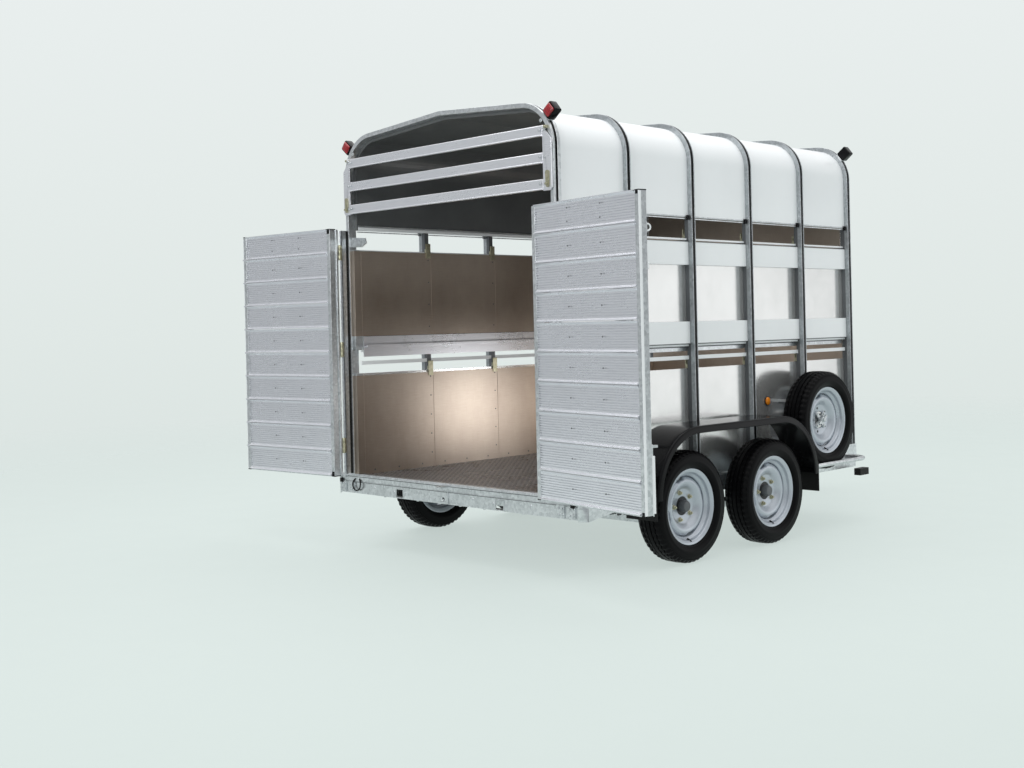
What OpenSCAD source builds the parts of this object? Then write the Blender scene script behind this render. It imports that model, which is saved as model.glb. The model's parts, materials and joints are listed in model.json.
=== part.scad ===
// Twin-axle livestock trailer with an arched roof, slatted vents, two rear doors and a top gate.
// The modules work in road coordinates, in millimetres: X to the right, Y forwards to the hitch,
// Z up from the ground, with the rear hoop at Y = 0. The last lines move every piece so that
// the centre of the tow-ball socket is the origin.

/* [Body] */
// Distance between neighbouring roof hoops
bay_pitch = 610; // [600:5:620]
// Half of the width over the hoops
half_width = 936; // [926:1:946]
// Height of the upper face of the floor
floor_z = 462; // [458:1:466]
// Height at which the roof sheet starts
eave_z = 2056; // [2040:1:2070]
// Height of the roof's ridge
ridge_z = 2712; // [2690:1:2740]
// Outer radius of the roof's corners
roof_r = 260; // [240:1:280]
// Angle at which the roof falls away from its ridge
roof_fall = 4.1; // [3:0.1:5]

/* [Side walls] */
// Upper edge of the lower side panel
low_panel_top = 1123; // [1110:1:1130]
// Lower edge of the lower white board
low_board_bottom = 1276; // [1270:1:1290]
// Upper edge of the lower white board
low_board_top = 1413; // [1400:1:1420]
// Lower edge of the upper white board
high_board_bottom = 1763; // [1750:1:1775]
// Upper edge of the upper white board
high_board_top = 1907; // [1890:1:1912]

/* [Running gear] */
// Height of the wheel axles, which is also the outer radius of the tyres
tyre_r = 330; // [325:1:335]
// Width of a tyre over its sidewalls
tyre_w = 175; // [165:1:180]
// Distance of a tyre's middle plane from the middle of the trailer
tyre_x = 1095; // [1092:1:1100]
// Distance of the rear axle from the rear hoop
rear_axle_y = 836; // [830:1:842]
// Distance between the two axles
axle_spacing = 848; // [840:1:856]
// Pitch circle of the wheel studs
stud_pcd = 165.1; // [160:0.1:170]

/* [Rear doors] */
// Height of the lower edge of the doors
door_bottom = 465; // [463:1:468]
// Height of the upper edge of the doors
door_top = 2061; // [2055:1:2066]
// Distance of the hinge pins from the middle of the trailer
door_pin_x = 908; // [906:1:910]
// Angle by which the right door stands open
right_open = 170; // [150:0.5:178]
// Angle by which the left door stands open
left_open = 175.5; // [150:0.5:178]
// Number of planks in a door
plank_count = 10; // [8:1:12]

/* [Hitch] */
// Distance of the tow-ball socket from the rear hoop
hitch_y = 4350; // [4345:1:4360]
// Height of the centre of the tow-ball socket
hitch_z = 400; // [395:1:405]
// Radius of the tow-ball socket
socket_r = 25.2; // [25.1:0.05:25.4]

/* [Hidden] */

$fn = 64;
steel_t = 4;
tiny = 0.3;
through = 1;

bay_count = 5;
body_len = bay_count * bay_pitch;
hoop_depth = 30;
hoop_width = 36;
rear_depth = 60;
front_end = body_len + hoop_width / 2;
front_axle_y = rear_axle_y + axle_spacing;

rail_bottom = 345;
rail_top = 445;
rail_width = 60;
sill_top = 468;
sill_half = half_width + 124;
step_z = 425;
pocket_x = 450;
pocket_half = 32;
sill_hole_r = 12;
sill_hole_z = 372;
wing_x = half_width + 164;
wing_end = 445;
rear_lamp_y = wing_end;
lamp_angle = 39;

board_t = 26;
board_x = half_width - hoop_depth - board_t;
post_depth = 58;
panel_t = 5;
panel_x = half_width - post_depth - panel_t - 0.5;
skin_t = 4;
frame_x = half_width - rail_width;
lining_t = 5;
lining_x = panel_x - lining_t - 0.5;
lining_front = body_len - 28;
wall_start = rear_depth / 2 + 2;

corner_x = half_width - roof_r;
corner_z = ridge_z - corner_x * tan(roof_fall) - roof_r / cos(roof_fall);
corner_steps = 14;

door_face = -32;
door_t = 50;
door_pin_y = -107;
door_edge_x = door_pin_x - 11;
strip_x = door_pin_x + 13;
strip_t = 8;
strip_gap = 28;
door_gap = 2;
door_h = door_top - door_bottom;
plank_foot = 6;
plank_pitch = (door_h - plank_foot) / plank_count;
stile_w = 30;
hinge_heights = [660, 1280, 1908];
hinge_half = 48;
knuckle_half = 16;
knuckle_r = 9;
pin_r = 4;
pin_bore_r = 4.08;
bolt_r = 6;
bolt_bore_r = 6.08;
bolt_x = 18;
bolt_y = door_face - door_t - 12;
bolt_low = door_bottom - 2;
bolt_top = door_bottom + 350;
bolt_cover = [door_bottom + 12, door_bottom + 295];
lip_top = door_bottom - 3;

gate_face = -34;
gate_t = 10;
gate_bottom = 2152;
gate_top = 2514;
gate_side_x = 868;
gate_outer_x = half_width - 2;
gate_pin_y = -48;
gate_pin_z = 2505;
slat_h = 60;
slat_t = 16;
latch_pin_x = 904;
latch_pin_z = 2250;

eye_span = 380;
spring_x = half_width - rail_width / 2;
spring_w = 50;
beam_bottom = 205;
beam_top = 255;
leaf_t = 8;
leaf_sag = 50;
leaf_steps = 8;
eye_r = 14;
eye_z = beam_top + 2 + 2 * leaf_t + leaf_sag + 2;
stub_r = 20;
stub_bore_r = 20.07;
hub_inner_x = half_width + 32;
disc_offset = -3;
disc_t = 5;
rim_out = 67;

spare_x = half_width + 104;
spare_y = 2430;
spare_z = 727;
rail_r = 14;
tray_x = half_width + 211;
tray_z = 438;
tray_bend = 100;
tray_start = 2210;
tray_end = 2880;

guard_r = 400;
guard_t = 5;
guard_inner_x = half_width + 4;
guard_outer_x = 1200;
guard_rear = rear_axle_y + 54 - guard_r;
guard_front = front_axle_y + 76 + guard_r;

draw_r = 25;
draw_bore_r = 25.08;
draw_z = hitch_z + 15;
nose_rear = 4010;
nose_front = 4170;
nose_half = 60;
nose_top = 448;
lever_pin_z = 503;
lever_pin_y = 4040;
handle_pin_y = hitch_y - 15;
handle_pin_z = hitch_z + 58;
small_pin_r = 5;
small_bore_r = 5.07;

jockey_x = -190;
jockey_y = 4080;
jockey_wheel_r = 100;
leg_r = 25;
leg_bore_r = 25.08;
leg_bottom = 215;
leg_top = 560;
mast_r = 30;
mast_bottom = 300;
mast_top = 820;
clamp_bottom = 388;
clamp_top = 440;
screw_r = 8;
screw_bore_r = 8.08;

// ---- Shared shapes ----

module box(low, high) {
  translate(low) cube(high - low);
}

module both_sides() {
  children();
  mirror([1, 0, 0]) children();
}

// Extrudes an outline drawn in X and Z from y0 to y1
module extrude_y(y0, y1) {
  translate([0, y1, 0]) rotate([90, 0, 0]) linear_extrude(y1 - y0) children();
}

// Extrudes an outline drawn in Y and Z from x0 to x1
module extrude_x(x0, x1) {
  translate([x0, 0, 0]) rotate([90, 0, 90]) linear_extrude(x1 - x0) children();
}

module cyl_x(r, x0, x1) {
  translate([x0, 0, 0]) rotate([0, 90, 0]) cylinder(r = r, h = x1 - x0);
}

module cyl_y(r, y0, y1) {
  translate([0, y1, 0]) rotate([90, 0, 0]) cylinder(r = r, h = y1 - y0);
}

module cyl_z(r, z0, z1) {
  translate([0, 0, z0]) cylinder(r = r, h = z1 - z0);
}

// Turns an outline of radius and distance about the X axis
module turned_x() {
  rotate([0, 90, 0]) rotate_extrude($fn = 96) children();
}

function arc(centre, r, a0, a1, steps) =
  [for (i = [0 : steps]) let (a = a0 + (a1 - a0) * i / steps)
    [centre[0] + r * cos(a), centre[1] + r * sin(a)]];

function mirrored(points) = [for (i = [len(points) - 1 : -1 : 0]) [-points[i][0], points[i][1]]];

// Right half of the body's arched outline, set in by some distance, from z_low up to the ridge
function arch_half(inset, z_low) = concat(
  [[half_width - inset, z_low]],
  arc([corner_x, corner_z], roof_r - inset, 0, 90 - roof_fall, corner_steps),
  [[0, ridge_z - inset / cos(roof_fall)]]);

function arch_outline(inset, z_low) =
  concat(arch_half(inset, z_low), [for (p = mirrored(arch_half(inset, z_low))) if (p[0] < 0) p]);

module arch_shell(outer_inset, inner_inset, z_low) {
  difference() {
    polygon(arch_outline(outer_inset, z_low));
    polygon(arch_outline(inner_inset, z_low - through));
  }
}

// ---- Chassis ----

module chassis_rails() color("silver") both_sides() difference() {
  box([half_width - rail_width, rear_depth / 2, rail_bottom], [half_width, front_end, rail_top]);
  box([half_width - rail_width - through, rear_depth / 2 - through, rail_bottom + steel_t],
      [half_width - steel_t, front_end + through, rail_top - steel_t]);
}

// Channel across the chassis, open towards the rear
module cross_channel(y0, y1, z0) {
  difference() {
    box([-frame_x, y0, z0], [frame_x, y1, rail_top]);
    box([-frame_x - through, y0 - through, z0 + steel_t], [frame_x + through, y1 - steel_t,
        rail_top - steel_t]);
  }
}

module cross_members() color("silver") {
  for (i = [1 : 2 * bay_count - 1]) cross_channel(i * bay_pitch / 2 - 20, i * bay_pitch / 2 + 20,
    rail_top - 60);
  cross_channel(front_end - 60, front_end, rail_bottom);
}

// Plan of one drawbar rail, with its walls set in by t
function drawbar_plan(t) = [
  [600 - t, front_end + t], [534 + t, front_end + t], [nose_half + 1 + t, 4040 + 2 * t],
  [nose_half + 1 + t, 4160 - t], [98 - t, 4160 - t]];

module drawbar_rails() color("silver") both_sides() difference() {
  translate([0, 0, rail_bottom]) linear_extrude(rail_top - rail_bottom) polygon(drawbar_plan(0));
  translate([0, 0, rail_bottom + steel_t]) linear_extrude(rail_top - rail_bottom - 2 * steel_t)
    polygon(drawbar_plan(steel_t));
}

module drawbar_nose() color("silver") difference() {
  union() {
    box([-nose_half, nose_rear, 352], [nose_half, nose_front, nose_top]);
    box([20, lever_pin_y - 16, nose_top], [34, lever_pin_y + 16, lever_pin_z + 16]);
    box([-6, nose_rear + 30, 312], [6, nose_rear + 90, 352]);
    translate([0, 0, draw_z]) cyl_y(33, nose_front, nose_front + 6);
    // Clamp for the jockey wheel's mast
    translate([jockey_x, jockey_y, 0]) cyl_z(mast_r + 8, clamp_bottom, clamp_top);
    box([jockey_x + mast_r + 4, jockey_y - 30, clamp_bottom], [-150, jockey_y + 10, clamp_top]);
  }
  translate([jockey_x, jockey_y, 0]) cyl_z(mast_r + 0.08, clamp_bottom - through, clamp_top + through);
  translate([0, 0, draw_z]) cyl_y(draw_bore_r, nose_rear - through, nose_front + 7);
  translate([0, lever_pin_y, lever_pin_z]) cyl_x(bolt_bore_r, 19, 35);
  translate([0, nose_rear + 60, 330]) cyl_x(8, -7, 7);
}

module brake_rod() color("dimgray") {
  translate([0, 0, 300]) cyl_y(6, front_axle_y + 30, nose_rear - 20);
  box([-10, nose_rear - 20, 290], [10, nose_rear - tiny, 380]);
}

// ---- Sill and floor ----

module rear_sill() color("gainsboro") difference() {
  union() {
    box([-sill_half, -30, rail_bottom], [sill_half, 30, sill_top]);
    box([-sill_half, -34, step_z], [sill_half, -30, lip_top]);
  }
  box([-sill_half - through, -30 + steel_t, rail_bottom + steel_t],
      [sill_half + through, 30 + through, sill_top - steel_t]);
  for (side = [-1, 1])
    box([side * pocket_x - pocket_half, -32, 352], [side * pocket_x + pocket_half, -24, 400]);
  translate([-40, 0, sill_hole_z]) cyl_y(sill_hole_r, -32, -24);
}

// Bevelled plate that closes the sill's end and runs forwards to the wheel arch
module sill_wing() {
  translate([0, 0, rail_bottom - 10]) linear_extrude(105)
    polygon([[sill_half, -30], [sill_half, -26], [wing_x - 4, 12], [wing_x, 10]]);
  extrude_x(wing_x - 4, wing_x)
    polygon([[12, 335], [12, 440], [wing_end, 440], [wing_end, 395]]);
}

module sill_plates() color("gainsboro") both_sides() {
  for (x = [906, 988]) {
    box([x, -37, 350], [x + 58, -30, 420]);
    for (dx = [16, 42], z = [368, 402]) translate([x + dx, 0, z]) cyl_y(7, -43, -37);
  }
  sill_wing();
  box([wing_x - 134, wing_end, 420], [guard_outer_x - 10, wing_end + 5, 580]);
  // Keeper that a door's bolt drops into
  difference() {
    box([4, bolt_y - 16, 452], [32, -34, 460]);
    translate([bolt_x, bolt_y, 0]) cyl_z(bolt_r + 1.5, 450, 462);
  }
  // Small bolts under the sill
  for (x = [90, 300, 620]) translate([x, -10, 0]) cyl_z(8, 338, rail_bottom);
}

module floor_deck() color("peru")
  box([1 - lining_x, rear_depth / 2 + 1, rail_top], [lining_x - 1, lining_front + 1, floor_z]);

// ---- Hoops, roof and walls ----

module body_posts() color("lightgray") both_sides() {
  box([half_width - rear_depth, -30, sill_top], [half_width, 30, eave_z]);
  for (i = [1 : bay_count])
    box([half_width - post_depth, i * bay_pitch - hoop_width / 2, rail_top],
        [half_width, i * bay_pitch + hoop_width / 2, eave_z]);
  // Strip that carries the door hinges
  box([strip_x, door_pin_y + strip_gap, sill_top + 4], [strip_x + strip_t, -rear_depth / 2, eave_z - 2]);
}

module roof_bows() color("lightgray") {
  extrude_y(-30, 30) arch_shell(0, 40, eave_z);
  for (i = [1 : bay_count])
    extrude_y(i * bay_pitch - hoop_width / 2, i * bay_pitch + hoop_width / 2)
      arch_shell(0, hoop_depth, eave_z);
}

module roof_skin() color("white")
  extrude_y(wall_start, front_end) arch_shell(hoop_depth, hoop_depth + skin_t, eave_z);

module roof_lining() color("dimgray")
  extrude_y(wall_start, lining_front) arch_shell(hoop_depth + skin_t + 2, hoop_depth + skin_t + 8,
    eave_z + 30);

// One strip along both side walls
module wall_strip(x, t, z0, z1, y_end) {
  both_sides() box([x, wall_start, z0], [x + t, y_end, z1]);
}

// The same strip, cut into one length between each pair of hoops
module bay_strips(x, t, z0, z1) {
  gap = hoop_width / 2 + 0.5;
  both_sides() for (i = [0 : bay_count - 1])
    box([x, max(wall_start, i * bay_pitch + gap), z0], [x + t, (i + 1) * bay_pitch - gap, z1]);
}

module side_boards() color("white") {
  bay_strips(board_x, board_t, low_board_bottom, low_board_top);
  bay_strips(board_x, board_t, high_board_bottom, high_board_top);
}

module side_panels() color("whitesmoke") {
  wall_strip(panel_x, panel_t, rail_top + 2, low_panel_top, front_end);
  wall_strip(panel_x, panel_t, low_board_top - 20, high_board_bottom + 20, front_end);
}

module vent_rails() color("lightgray") {
  bay_strips(board_x, 12, low_panel_top + 55, low_panel_top + 79);
  bay_strips(board_x, 12, low_board_bottom - 16, low_board_bottom - 4);
  bay_strips(board_x, 12, high_board_top + 9, high_board_top + 21);
  wall_strip(board_x, 20, eave_z + 2, eave_z + 20, lining_front);
}

module inner_linings() color("rosybrown") {
  wall_strip(lining_x, lining_t, floor_z + 1, 1108, lining_front);
  wall_strip(lining_x, lining_t, 1366, 1920, lining_front);
  box([1 - panel_x, lining_front + 2, floor_z + 1], [panel_x - 1, lining_front + 8, eave_z]);
}

module deck_ledges() color("silver") both_sides() extrude_y(wall_start + 8, lining_front - 2)
  polygon([[lining_x + 6, 1230], [lining_x, 1230], [lining_x, 1292], [lining_x - 34, 1292],
           [lining_x - 34, 1310], [lining_x - 30, 1310], [lining_x - 30, 1298],
           [lining_x, 1298], [lining_x, 1364], [lining_x + 6, 1364]]);

// Clamps that hold the linings' upper edges to the posts
module lining_brackets() color("darkkhaki") both_sides() for (i = [1 : bay_count - 1], z = [1126, 1924])
  translate([0, i * bay_pitch, z]) {
    box([lining_x - 6, -20, -40], [lining_x - 0.5, 20, 60]);
    box([lining_x - 6, -20, 0], [half_width - post_depth - 0.5, 20, 24]);
  }

module front_wall() color("whitesmoke") {
  extrude_y(body_len - 14, body_len - 2) polygon(concat(
    [[half_width - post_depth - 7, floor_z + 2], [half_width - post_depth - 7, eave_z + 1]],
    arch_outline(hoop_depth + 14, eave_z + 1),
    [[7 - half_width + post_depth, eave_z + 1], [7 - half_width + post_depth, floor_z + 2]]));
  for (z = [560 : 150 : 2360]) box([-840, body_len - 2, z], [840, body_len + 3, z + 24]);
}

// ---- Wheels ----

// Section of a tyre: radius first, then distance from its middle plane
function tyre_half() = let (w = tyre_w / 2, r = tyre_r) [
  [204, w - 34], [214, w - 30], [224.5, w - 26], [228, w - 14], [240, w - 5], [256, w - 1], [272, w],
  [290, w - 2],
  [308, w - 9], [r - 12, w - 18], [r - 4, w - 30], [r, w - 46]];

function tyre_inner() = let (w = tyre_w / 2, r = tyre_r) [
  [204, w - 44], [222, w - 37], [240, w - 20], [256, w - 11], [290, w - 13], [308, w - 26],
  [r - 14, w - 46]];

function flipped(points) = [for (i = [len(points) - 1 : -1 : 0]) [points[i][0], -points[i][1]]];

module tyre() color("#202124") turned_x()
  polygon(concat(tyre_half(), flipped(tyre_half()), tyre_inner_back(), tyre_inner_front()));

function tyre_inner_back() = [for (p = tyre_inner()) [p[0], -p[1]]];
function tyre_inner_front() = [for (i = [len(tyre_inner()) - 1 : -1 : 0]) tyre_inner()[i]];

// Barrel of the rim and its pressed disc, with the disc's stud face at disc_offset
module rim_shape() color("silver") difference() {
  union() {
    turned_x() polygon([
      [223, rim_out], [219, rim_out], [203, rim_out - 8], [198, rim_out - 10], [197, 38], [178, 26],
      [178, -14],
      [197, -26], [198, -rim_out + 10], [203, -rim_out + 8], [219, -rim_out], [223, -rim_out],
      [223, -rim_out + 4], [203.5, -rim_out + 12], [201.5, -24], [182, -11], [182, 23],
      [201.5, 36], [203.5, rim_out - 12], [223, rim_out - 4]]);
    turned_x() polygon([
      [56, disc_offset], [104, disc_offset], [122, 20], [146, 32], [168, 20], [178.5, 4],
      [178.5, 14], [171, 27], [148, 38], [118, 26], [101, disc_offset + disc_t],
      [56, disc_offset + disc_t]]);
  }
  for (i = [0 : 4]) rotate([72 * i + 18, 0, 0]) translate([0, 0, stud_pcd / 2]) cyl_x(8, -10, 10);
}

// Brake drum and hub, closed at the front by its grease cap; x is measured from the middle plane
module hub_shape() {
  inner = hub_inner_x - tyre_x;
  face = disc_offset - tiny;
  color("gray") turned_x() polygon([
    [0, 18], [stub_bore_r, 18], [stub_bore_r, inner + 8], [38, inner + 8], [38, -28], [100, -28],
    [100, inner], [112, inner], [112, -16], [100, face - 7], [100, face], [34, face],
    [34, 32], [29, 39], [0, 39]]);
  color("silver") for (i = [0 : 4]) rotate([72 * i + 18, 0, 0]) translate([0, 0, stud_pcd / 2]) {
    rotate([0, 90, 0]) translate([0, 0, disc_offset + disc_t + tiny]) cylinder(r = 12, h = 13, $fn = 6);
    cyl_x(6, disc_offset + disc_t + 13, disc_offset + disc_t + 22);
  }
}

module at_wheel(side, y) {
  translate([side * tyre_x, y, tyre_r]) mirror([side < 0 ? 1 : 0, 0, 0]) children();
}

module wheel_rim() {
  rim_shape();
  hub_shape();
}

module at_spare() {
  translate([spare_x, spare_y, spare_z]) children();
}

module spare_tyre() at_spare() tyre();

module spare_rim() at_spare() rim_shape();

module spare_bracket() color("gainsboro") {
  at_spare() {
    cyl_x(8, half_width - spare_x, 40);
    for (a = [45, 135]) rotate([a, 0, 0]) box([disc_offset + disc_t + tiny, -70, -12], [12, 70, 12]);
    rotate([30, 0, 0]) box([22, -52, -7], [34, 52, 7]);
    box([half_width - spare_x + 6, -40, -40], [disc_offset - 1, 40, 40]);
    box([half_width - spare_x, -60, -55], [half_width - spare_x + 6, 60, 55]);
  }
  // Stay that steadies the wheel at the hoop behind it
  translate([half_width + 2, 2200, 0]) cyl_z(6, 806, 860);
  box([panel_x + panel_t, 2186, 858], [half_width + 10, 2216, 876]);
}

module spare_tray() color("gainsboro") {
  translate([tray_x, 0, tray_z]) cyl_y(rail_r, tray_start, tray_end - tray_bend);
  translate([tray_x - tray_bend, tray_end - tray_bend, tray_z]) rotate_extrude(angle = 90)
    translate([tray_bend, 0]) circle(r = rail_r);
  translate([0, tray_end, tray_z]) cyl_x(rail_r, half_width, tray_x - tray_bend);
  translate([0, tray_start, tray_z]) cyl_x(rail_r, half_width, tray_x + 4);
  translate([0, 0, tray_z - 12]) linear_extrude(4) polygon(concat(
    [[half_width, 2610], [tray_x, 2610]],
    arc([tray_x - tray_bend, tray_end - tray_bend], tray_bend, 0, 90, 10),
    [[half_width, tray_end]]));
  // Foot that bolts the front hoop to the tray
  box([half_width, tray_end, tray_z - 12], [half_width + 8, front_end, tray_z + 72]);
}

module buffer_blocks() color("#1c1c1c") {
  both_sides() {
    box([half_width - 56, 2945, rail_bottom - 48], [half_width - 6, front_end - 8, rail_bottom]);
    box([sill_half - 42, -46, 411], [sill_half - 16, -37.5, 437]);
  }
  // Loop of lead beside the foot of the left post
  translate([-870, -44, 405]) rotate([90, 0, 0]) rotate_extrude() translate([40, 0])
    circle(r = 4.5, $fn = 16);
}

// ---- Wheel arches ----

// Side view of a mudguard's edge: over both wheels, set in by t
function guard_path(t) = concat(
  arc([rear_axle_y + 54, guard_r], guard_r - t, 180, 90, 12),
  arc([front_axle_y + 76, guard_r], guard_r - t, 90, 0, 12));

module guard_ring(t0, t1) {
  polygon(concat(guard_path(t0), [for (i = [len(guard_path(t1)) - 1 : -1 : 0]) guard_path(t1)[i]]));
}

module mudguards() color("#1c1c1c") both_sides() {
  extrude_x(guard_inner_x, guard_outer_x) guard_ring(0, guard_t);
  extrude_x(guard_outer_x - 4, guard_outer_x) guard_ring(guard_t, 42);
  for (y = [guard_rear + guard_t, guard_front - guard_t - 12])
    box([half_width, y, 402], [guard_outer_x - 6, y + 12, 430]);
}

module mud_flaps() color("#1c1c1c") both_sides() {
  box([half_width + 29, guard_rear - 8, 288], [guard_outer_x - 8, guard_rear - 1, 470]);
  box([half_width + 49, guard_front + 1, 282], [guard_outer_x - 6, guard_front + 8, 475]);
}

// ---- Axles and springs ----

module axle_beam(y) translate([0, y, 0]) {
  box([-half_width - 10, -25, beam_bottom], [half_width + 10, 25, beam_top]);
  both_sides() {
    box([half_width + 10, -30, beam_bottom], [half_width + 20, 30, tyre_r + 42]);
    translate([0, 0, tyre_r]) {
      cyl_x(stub_r, half_width + 20, tyre_x + 14);
      cyl_x(98, half_width + 20, half_width + 26);
    }
  }
}

module axle_beams() color("gray") for (y = [rear_axle_y, front_axle_y]) axle_beam(y);

// Points along a leaf's lower face, from y0 to y1, where z0 is that face's height at the middle
function leaf_line(y0, y1, z0) = [for (i = [0 : leaf_steps]) let (y = y0 + (y1 - y0) * i / leaf_steps)
  [y, z0 + leaf_sag * pow(y / eye_span, 2)]];

// Lower edge of the stepped pack of three leaves, from its middle to its front end
function leaf_steps_out() = concat(
  leaf_line(0, eye_span * 0.46, beam_top + 2),
  leaf_line(eye_span * 0.46, eye_span * 0.73, beam_top + 2 + leaf_t),
  leaf_line(eye_span * 0.73, eye_span, beam_top + 2 + 2 * leaf_t));

module leaf_pack() {
  half = concat(leaf_steps_out(), leaf_line(eye_span, 0, beam_top + 2 + 3 * leaf_t));
  extrude_x(spring_x - spring_w / 2, spring_x + spring_w / 2)
    polygon(concat(half, [for (i = [len(half) - 2 : -1 : 1]) [-half[i][0], half[i][1]]]));
}

module leaf_springs() color("#303234") both_sides() for (y = [rear_axle_y, front_axle_y])
  translate([0, y, 0]) difference() {
    union() {
      leaf_pack();
      for (end = [-1, 1]) translate([0, end * eye_span, eye_z])
        cyl_x(eye_r, spring_x - spring_w / 2 - 0.7, spring_x + spring_w / 2 + 0.7);
    }
    for (end = [-1, 1]) translate([0, end * eye_span, eye_z]) cyl_x(8.1, spring_x - 30, spring_x + 30);
  }

module spring_hangers() color("silver") both_sides() for (y = [rear_axle_y, front_axle_y])
  translate([0, y, 0]) {
    for (end = [-1, 1]) translate([0, end * eye_span, 0]) {
      for (x = [spring_x - 30, spring_x + 26]) box([x, -20, eye_z - 20], [x + 4, 20, rail_bottom]);
      translate([0, 0, eye_z]) cyl_x(8, spring_x - 36, spring_x + 36);
    }
    for (z = [beam_bottom - 6, beam_top + 27]) box([spring_x - 40, -42, z], [spring_x + 38, 42, z + 6]);
    for (x = [spring_x - 33, spring_x + 33], dy = [-34, 34])
      translate([x, dy, 0]) cyl_z(5, beam_bottom - 18, beam_top + 44);
  }

// ---- Lamps ----

// Places a shape on the roof's corner, with X pointing out of the roof
module on_roof_corner() {
  both_sides() translate([corner_x, 0, corner_z]) rotate([0, -lamp_angle, 0]) children();
}

module lamp_bodies() color("#161616") {
  on_roof_corner() {
    box([roof_r + 2, -34, -36], [roof_r + 84, 20, 36]);
    box([roof_r + 2, body_len - 20, -36], [roof_r + 84, body_len + 34, 36]);
  }
  both_sides() box([wing_x - 118, rear_lamp_y - 34, 470], [guard_outer_x - 18, rear_lamp_y, 568]);
}

module lamp_lenses() color("crimson") {
  on_roof_corner() {
    box([roof_r + 20, -46, -24], [roof_r + 74, -34, 24]);
    box([roof_r + 20, body_len + 34, -24], [roof_r + 74, body_len + 46, 24]);
  }
  both_sides() box([wing_x - 112, rear_lamp_y - 48, 476], [guard_outer_x - 24, rear_lamp_y - 34, 562]);
}

module side_marker_lamps() color("orange") both_sides() translate([0, 2056, 871])
  cyl_x(31, panel_x + panel_t, panel_x + panel_t + 16);

// ---- Rear doors ----

// Places a door drawn closed on the right-hand side at its open position
module open_door(side, angle) {
  mirror([side < 0 ? 1 : 0, 0, 0]) translate([door_pin_x, door_pin_y, 0]) rotate([0, 0, angle])
    translate([-door_pin_x, -door_pin_y, 0]) children();
}

module door_frame() color("lightgray") {
  for (x = [door_gap, door_edge_x - stile_w]) difference() {
    box([x, door_face - door_t, door_bottom], [x + stile_w, door_face, door_top]);
    box([x + 3, door_face - door_t + 3, door_bottom - through],
        [x + stile_w - 3, door_face - 3, door_top + through]);
  }
  // Cover of the drop bolt, and two keepers on the meeting stile
  difference() {
    box([bolt_x - 11, bolt_y - 11, bolt_cover[0]], [bolt_x + 11, door_face - door_t, bolt_cover[1]]);
    translate([bolt_x, bolt_y, 0]) cyl_z(bolt_bore_r, bolt_cover[0] - through, bolt_cover[1] + through);
  }
  box([4, door_face - door_t - 14, 1845], [28, door_face - door_t, 1885]);
  box([4, door_face - door_t - 10, 1670], [28, door_face - door_t, 1710]);
}

// Section of one plank: a raised lip at each edge and fine ribs between them
function plank_section() = let (back = door_face - 30, face = door_face - 3, lip = 13, rib = 2, n = 8,
  first = 20, step = (plank_pitch - 2 * first) / n) concat(
  [[back, 0.5], [face + lip, 0.5], [face + lip, 6], [face, 14]],
  [for (i = [0 : n - 1], k = [0 : 3])
    [face + (k == 1 || k == 2 ? rib : 0), first + i * step + [2, 4, 10, 12][k] * step / 14.7]],
  [[face, plank_pitch - 14], [face + lip, plank_pitch - 6], [face + lip, plank_pitch - 0.5],
   [back, plank_pitch - 0.5]]);

module door_planks() color("lightsteelblue") for (i = [0 : plank_count - 1])
  translate([0, 0, door_bottom + plank_foot + i * plank_pitch])
    extrude_x(door_gap + stile_w + 1, door_edge_x - stile_w - 1) polygon(plank_section());

module door_hinges() color("darkkhaki") for (z = hinge_heights) translate([0, 0, z]) difference() {
  union() {
    box([door_pin_x - 60, door_face - door_t - 4, -hinge_half],
        [door_pin_x - 12, door_face - door_t, hinge_half]);
    box([door_pin_x - 19, door_pin_y + 2, -knuckle_half], [door_pin_x, door_pin_y + 7, knuckle_half]);
    box([door_pin_x - 19, door_pin_y + 2, -knuckle_half], [door_pin_x - 14, door_face - door_t,
        knuckle_half]);
    translate([door_pin_x, door_pin_y, 0]) cyl_z(knuckle_r, -knuckle_half, knuckle_half);
  }
  translate([door_pin_x, door_pin_y, 0]) cyl_z(pin_bore_r, -knuckle_half - through,
    knuckle_half + through);
}

module door_bolt() color("gainsboro") {
  translate([bolt_x, bolt_y, 0]) cyl_z(bolt_r, bolt_low, bolt_top);
  box([bolt_x - 7, bolt_y - 34, bolt_top - 16], [bolt_x + 7, bolt_y + 8, bolt_top - 4]);
}

// Fixed halves of the door hinges and of the gate hinges
module hinge_pins() color("darkkhaki") both_sides() {
  for (z = hinge_heights) translate([0, 0, z]) {
    translate([door_pin_x, door_pin_y, 0]) {
      cyl_z(pin_r, -hinge_half, hinge_half + 3);
      for (end = [-1, 1]) translate([0, 0, end * (hinge_half + knuckle_half + 1) / 2])
        cyl_z(knuckle_r, -(hinge_half - knuckle_half - 1) / 2, (hinge_half - knuckle_half - 1) / 2);
    }
    for (end = [-1, 1]) translate([0, 0, end * (hinge_half + knuckle_half + 1) / 2])
      box([door_pin_x, door_pin_y - 4, -(hinge_half - knuckle_half - 1) / 2],
          [door_pin_x + 20, door_pin_y + 4, (hinge_half - knuckle_half - 1) / 2]);
    box([strip_x, door_pin_y, -hinge_half], [strip_x + strip_t, door_pin_y + strip_gap - tiny,
        hinge_half]);
  }
  translate([0, gate_pin_y, gate_pin_z]) {
    cyl_x(pin_r, gate_side_x, gate_side_x + 20);
    cyl_x(knuckle_r - 1, gate_side_x + 18, gate_side_x + 32);
    box([gate_side_x + 18, 0, -8], [gate_side_x + 32, -gate_pin_y - 30, 8]);
  }
}

// ---- Top gate ----

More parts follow.
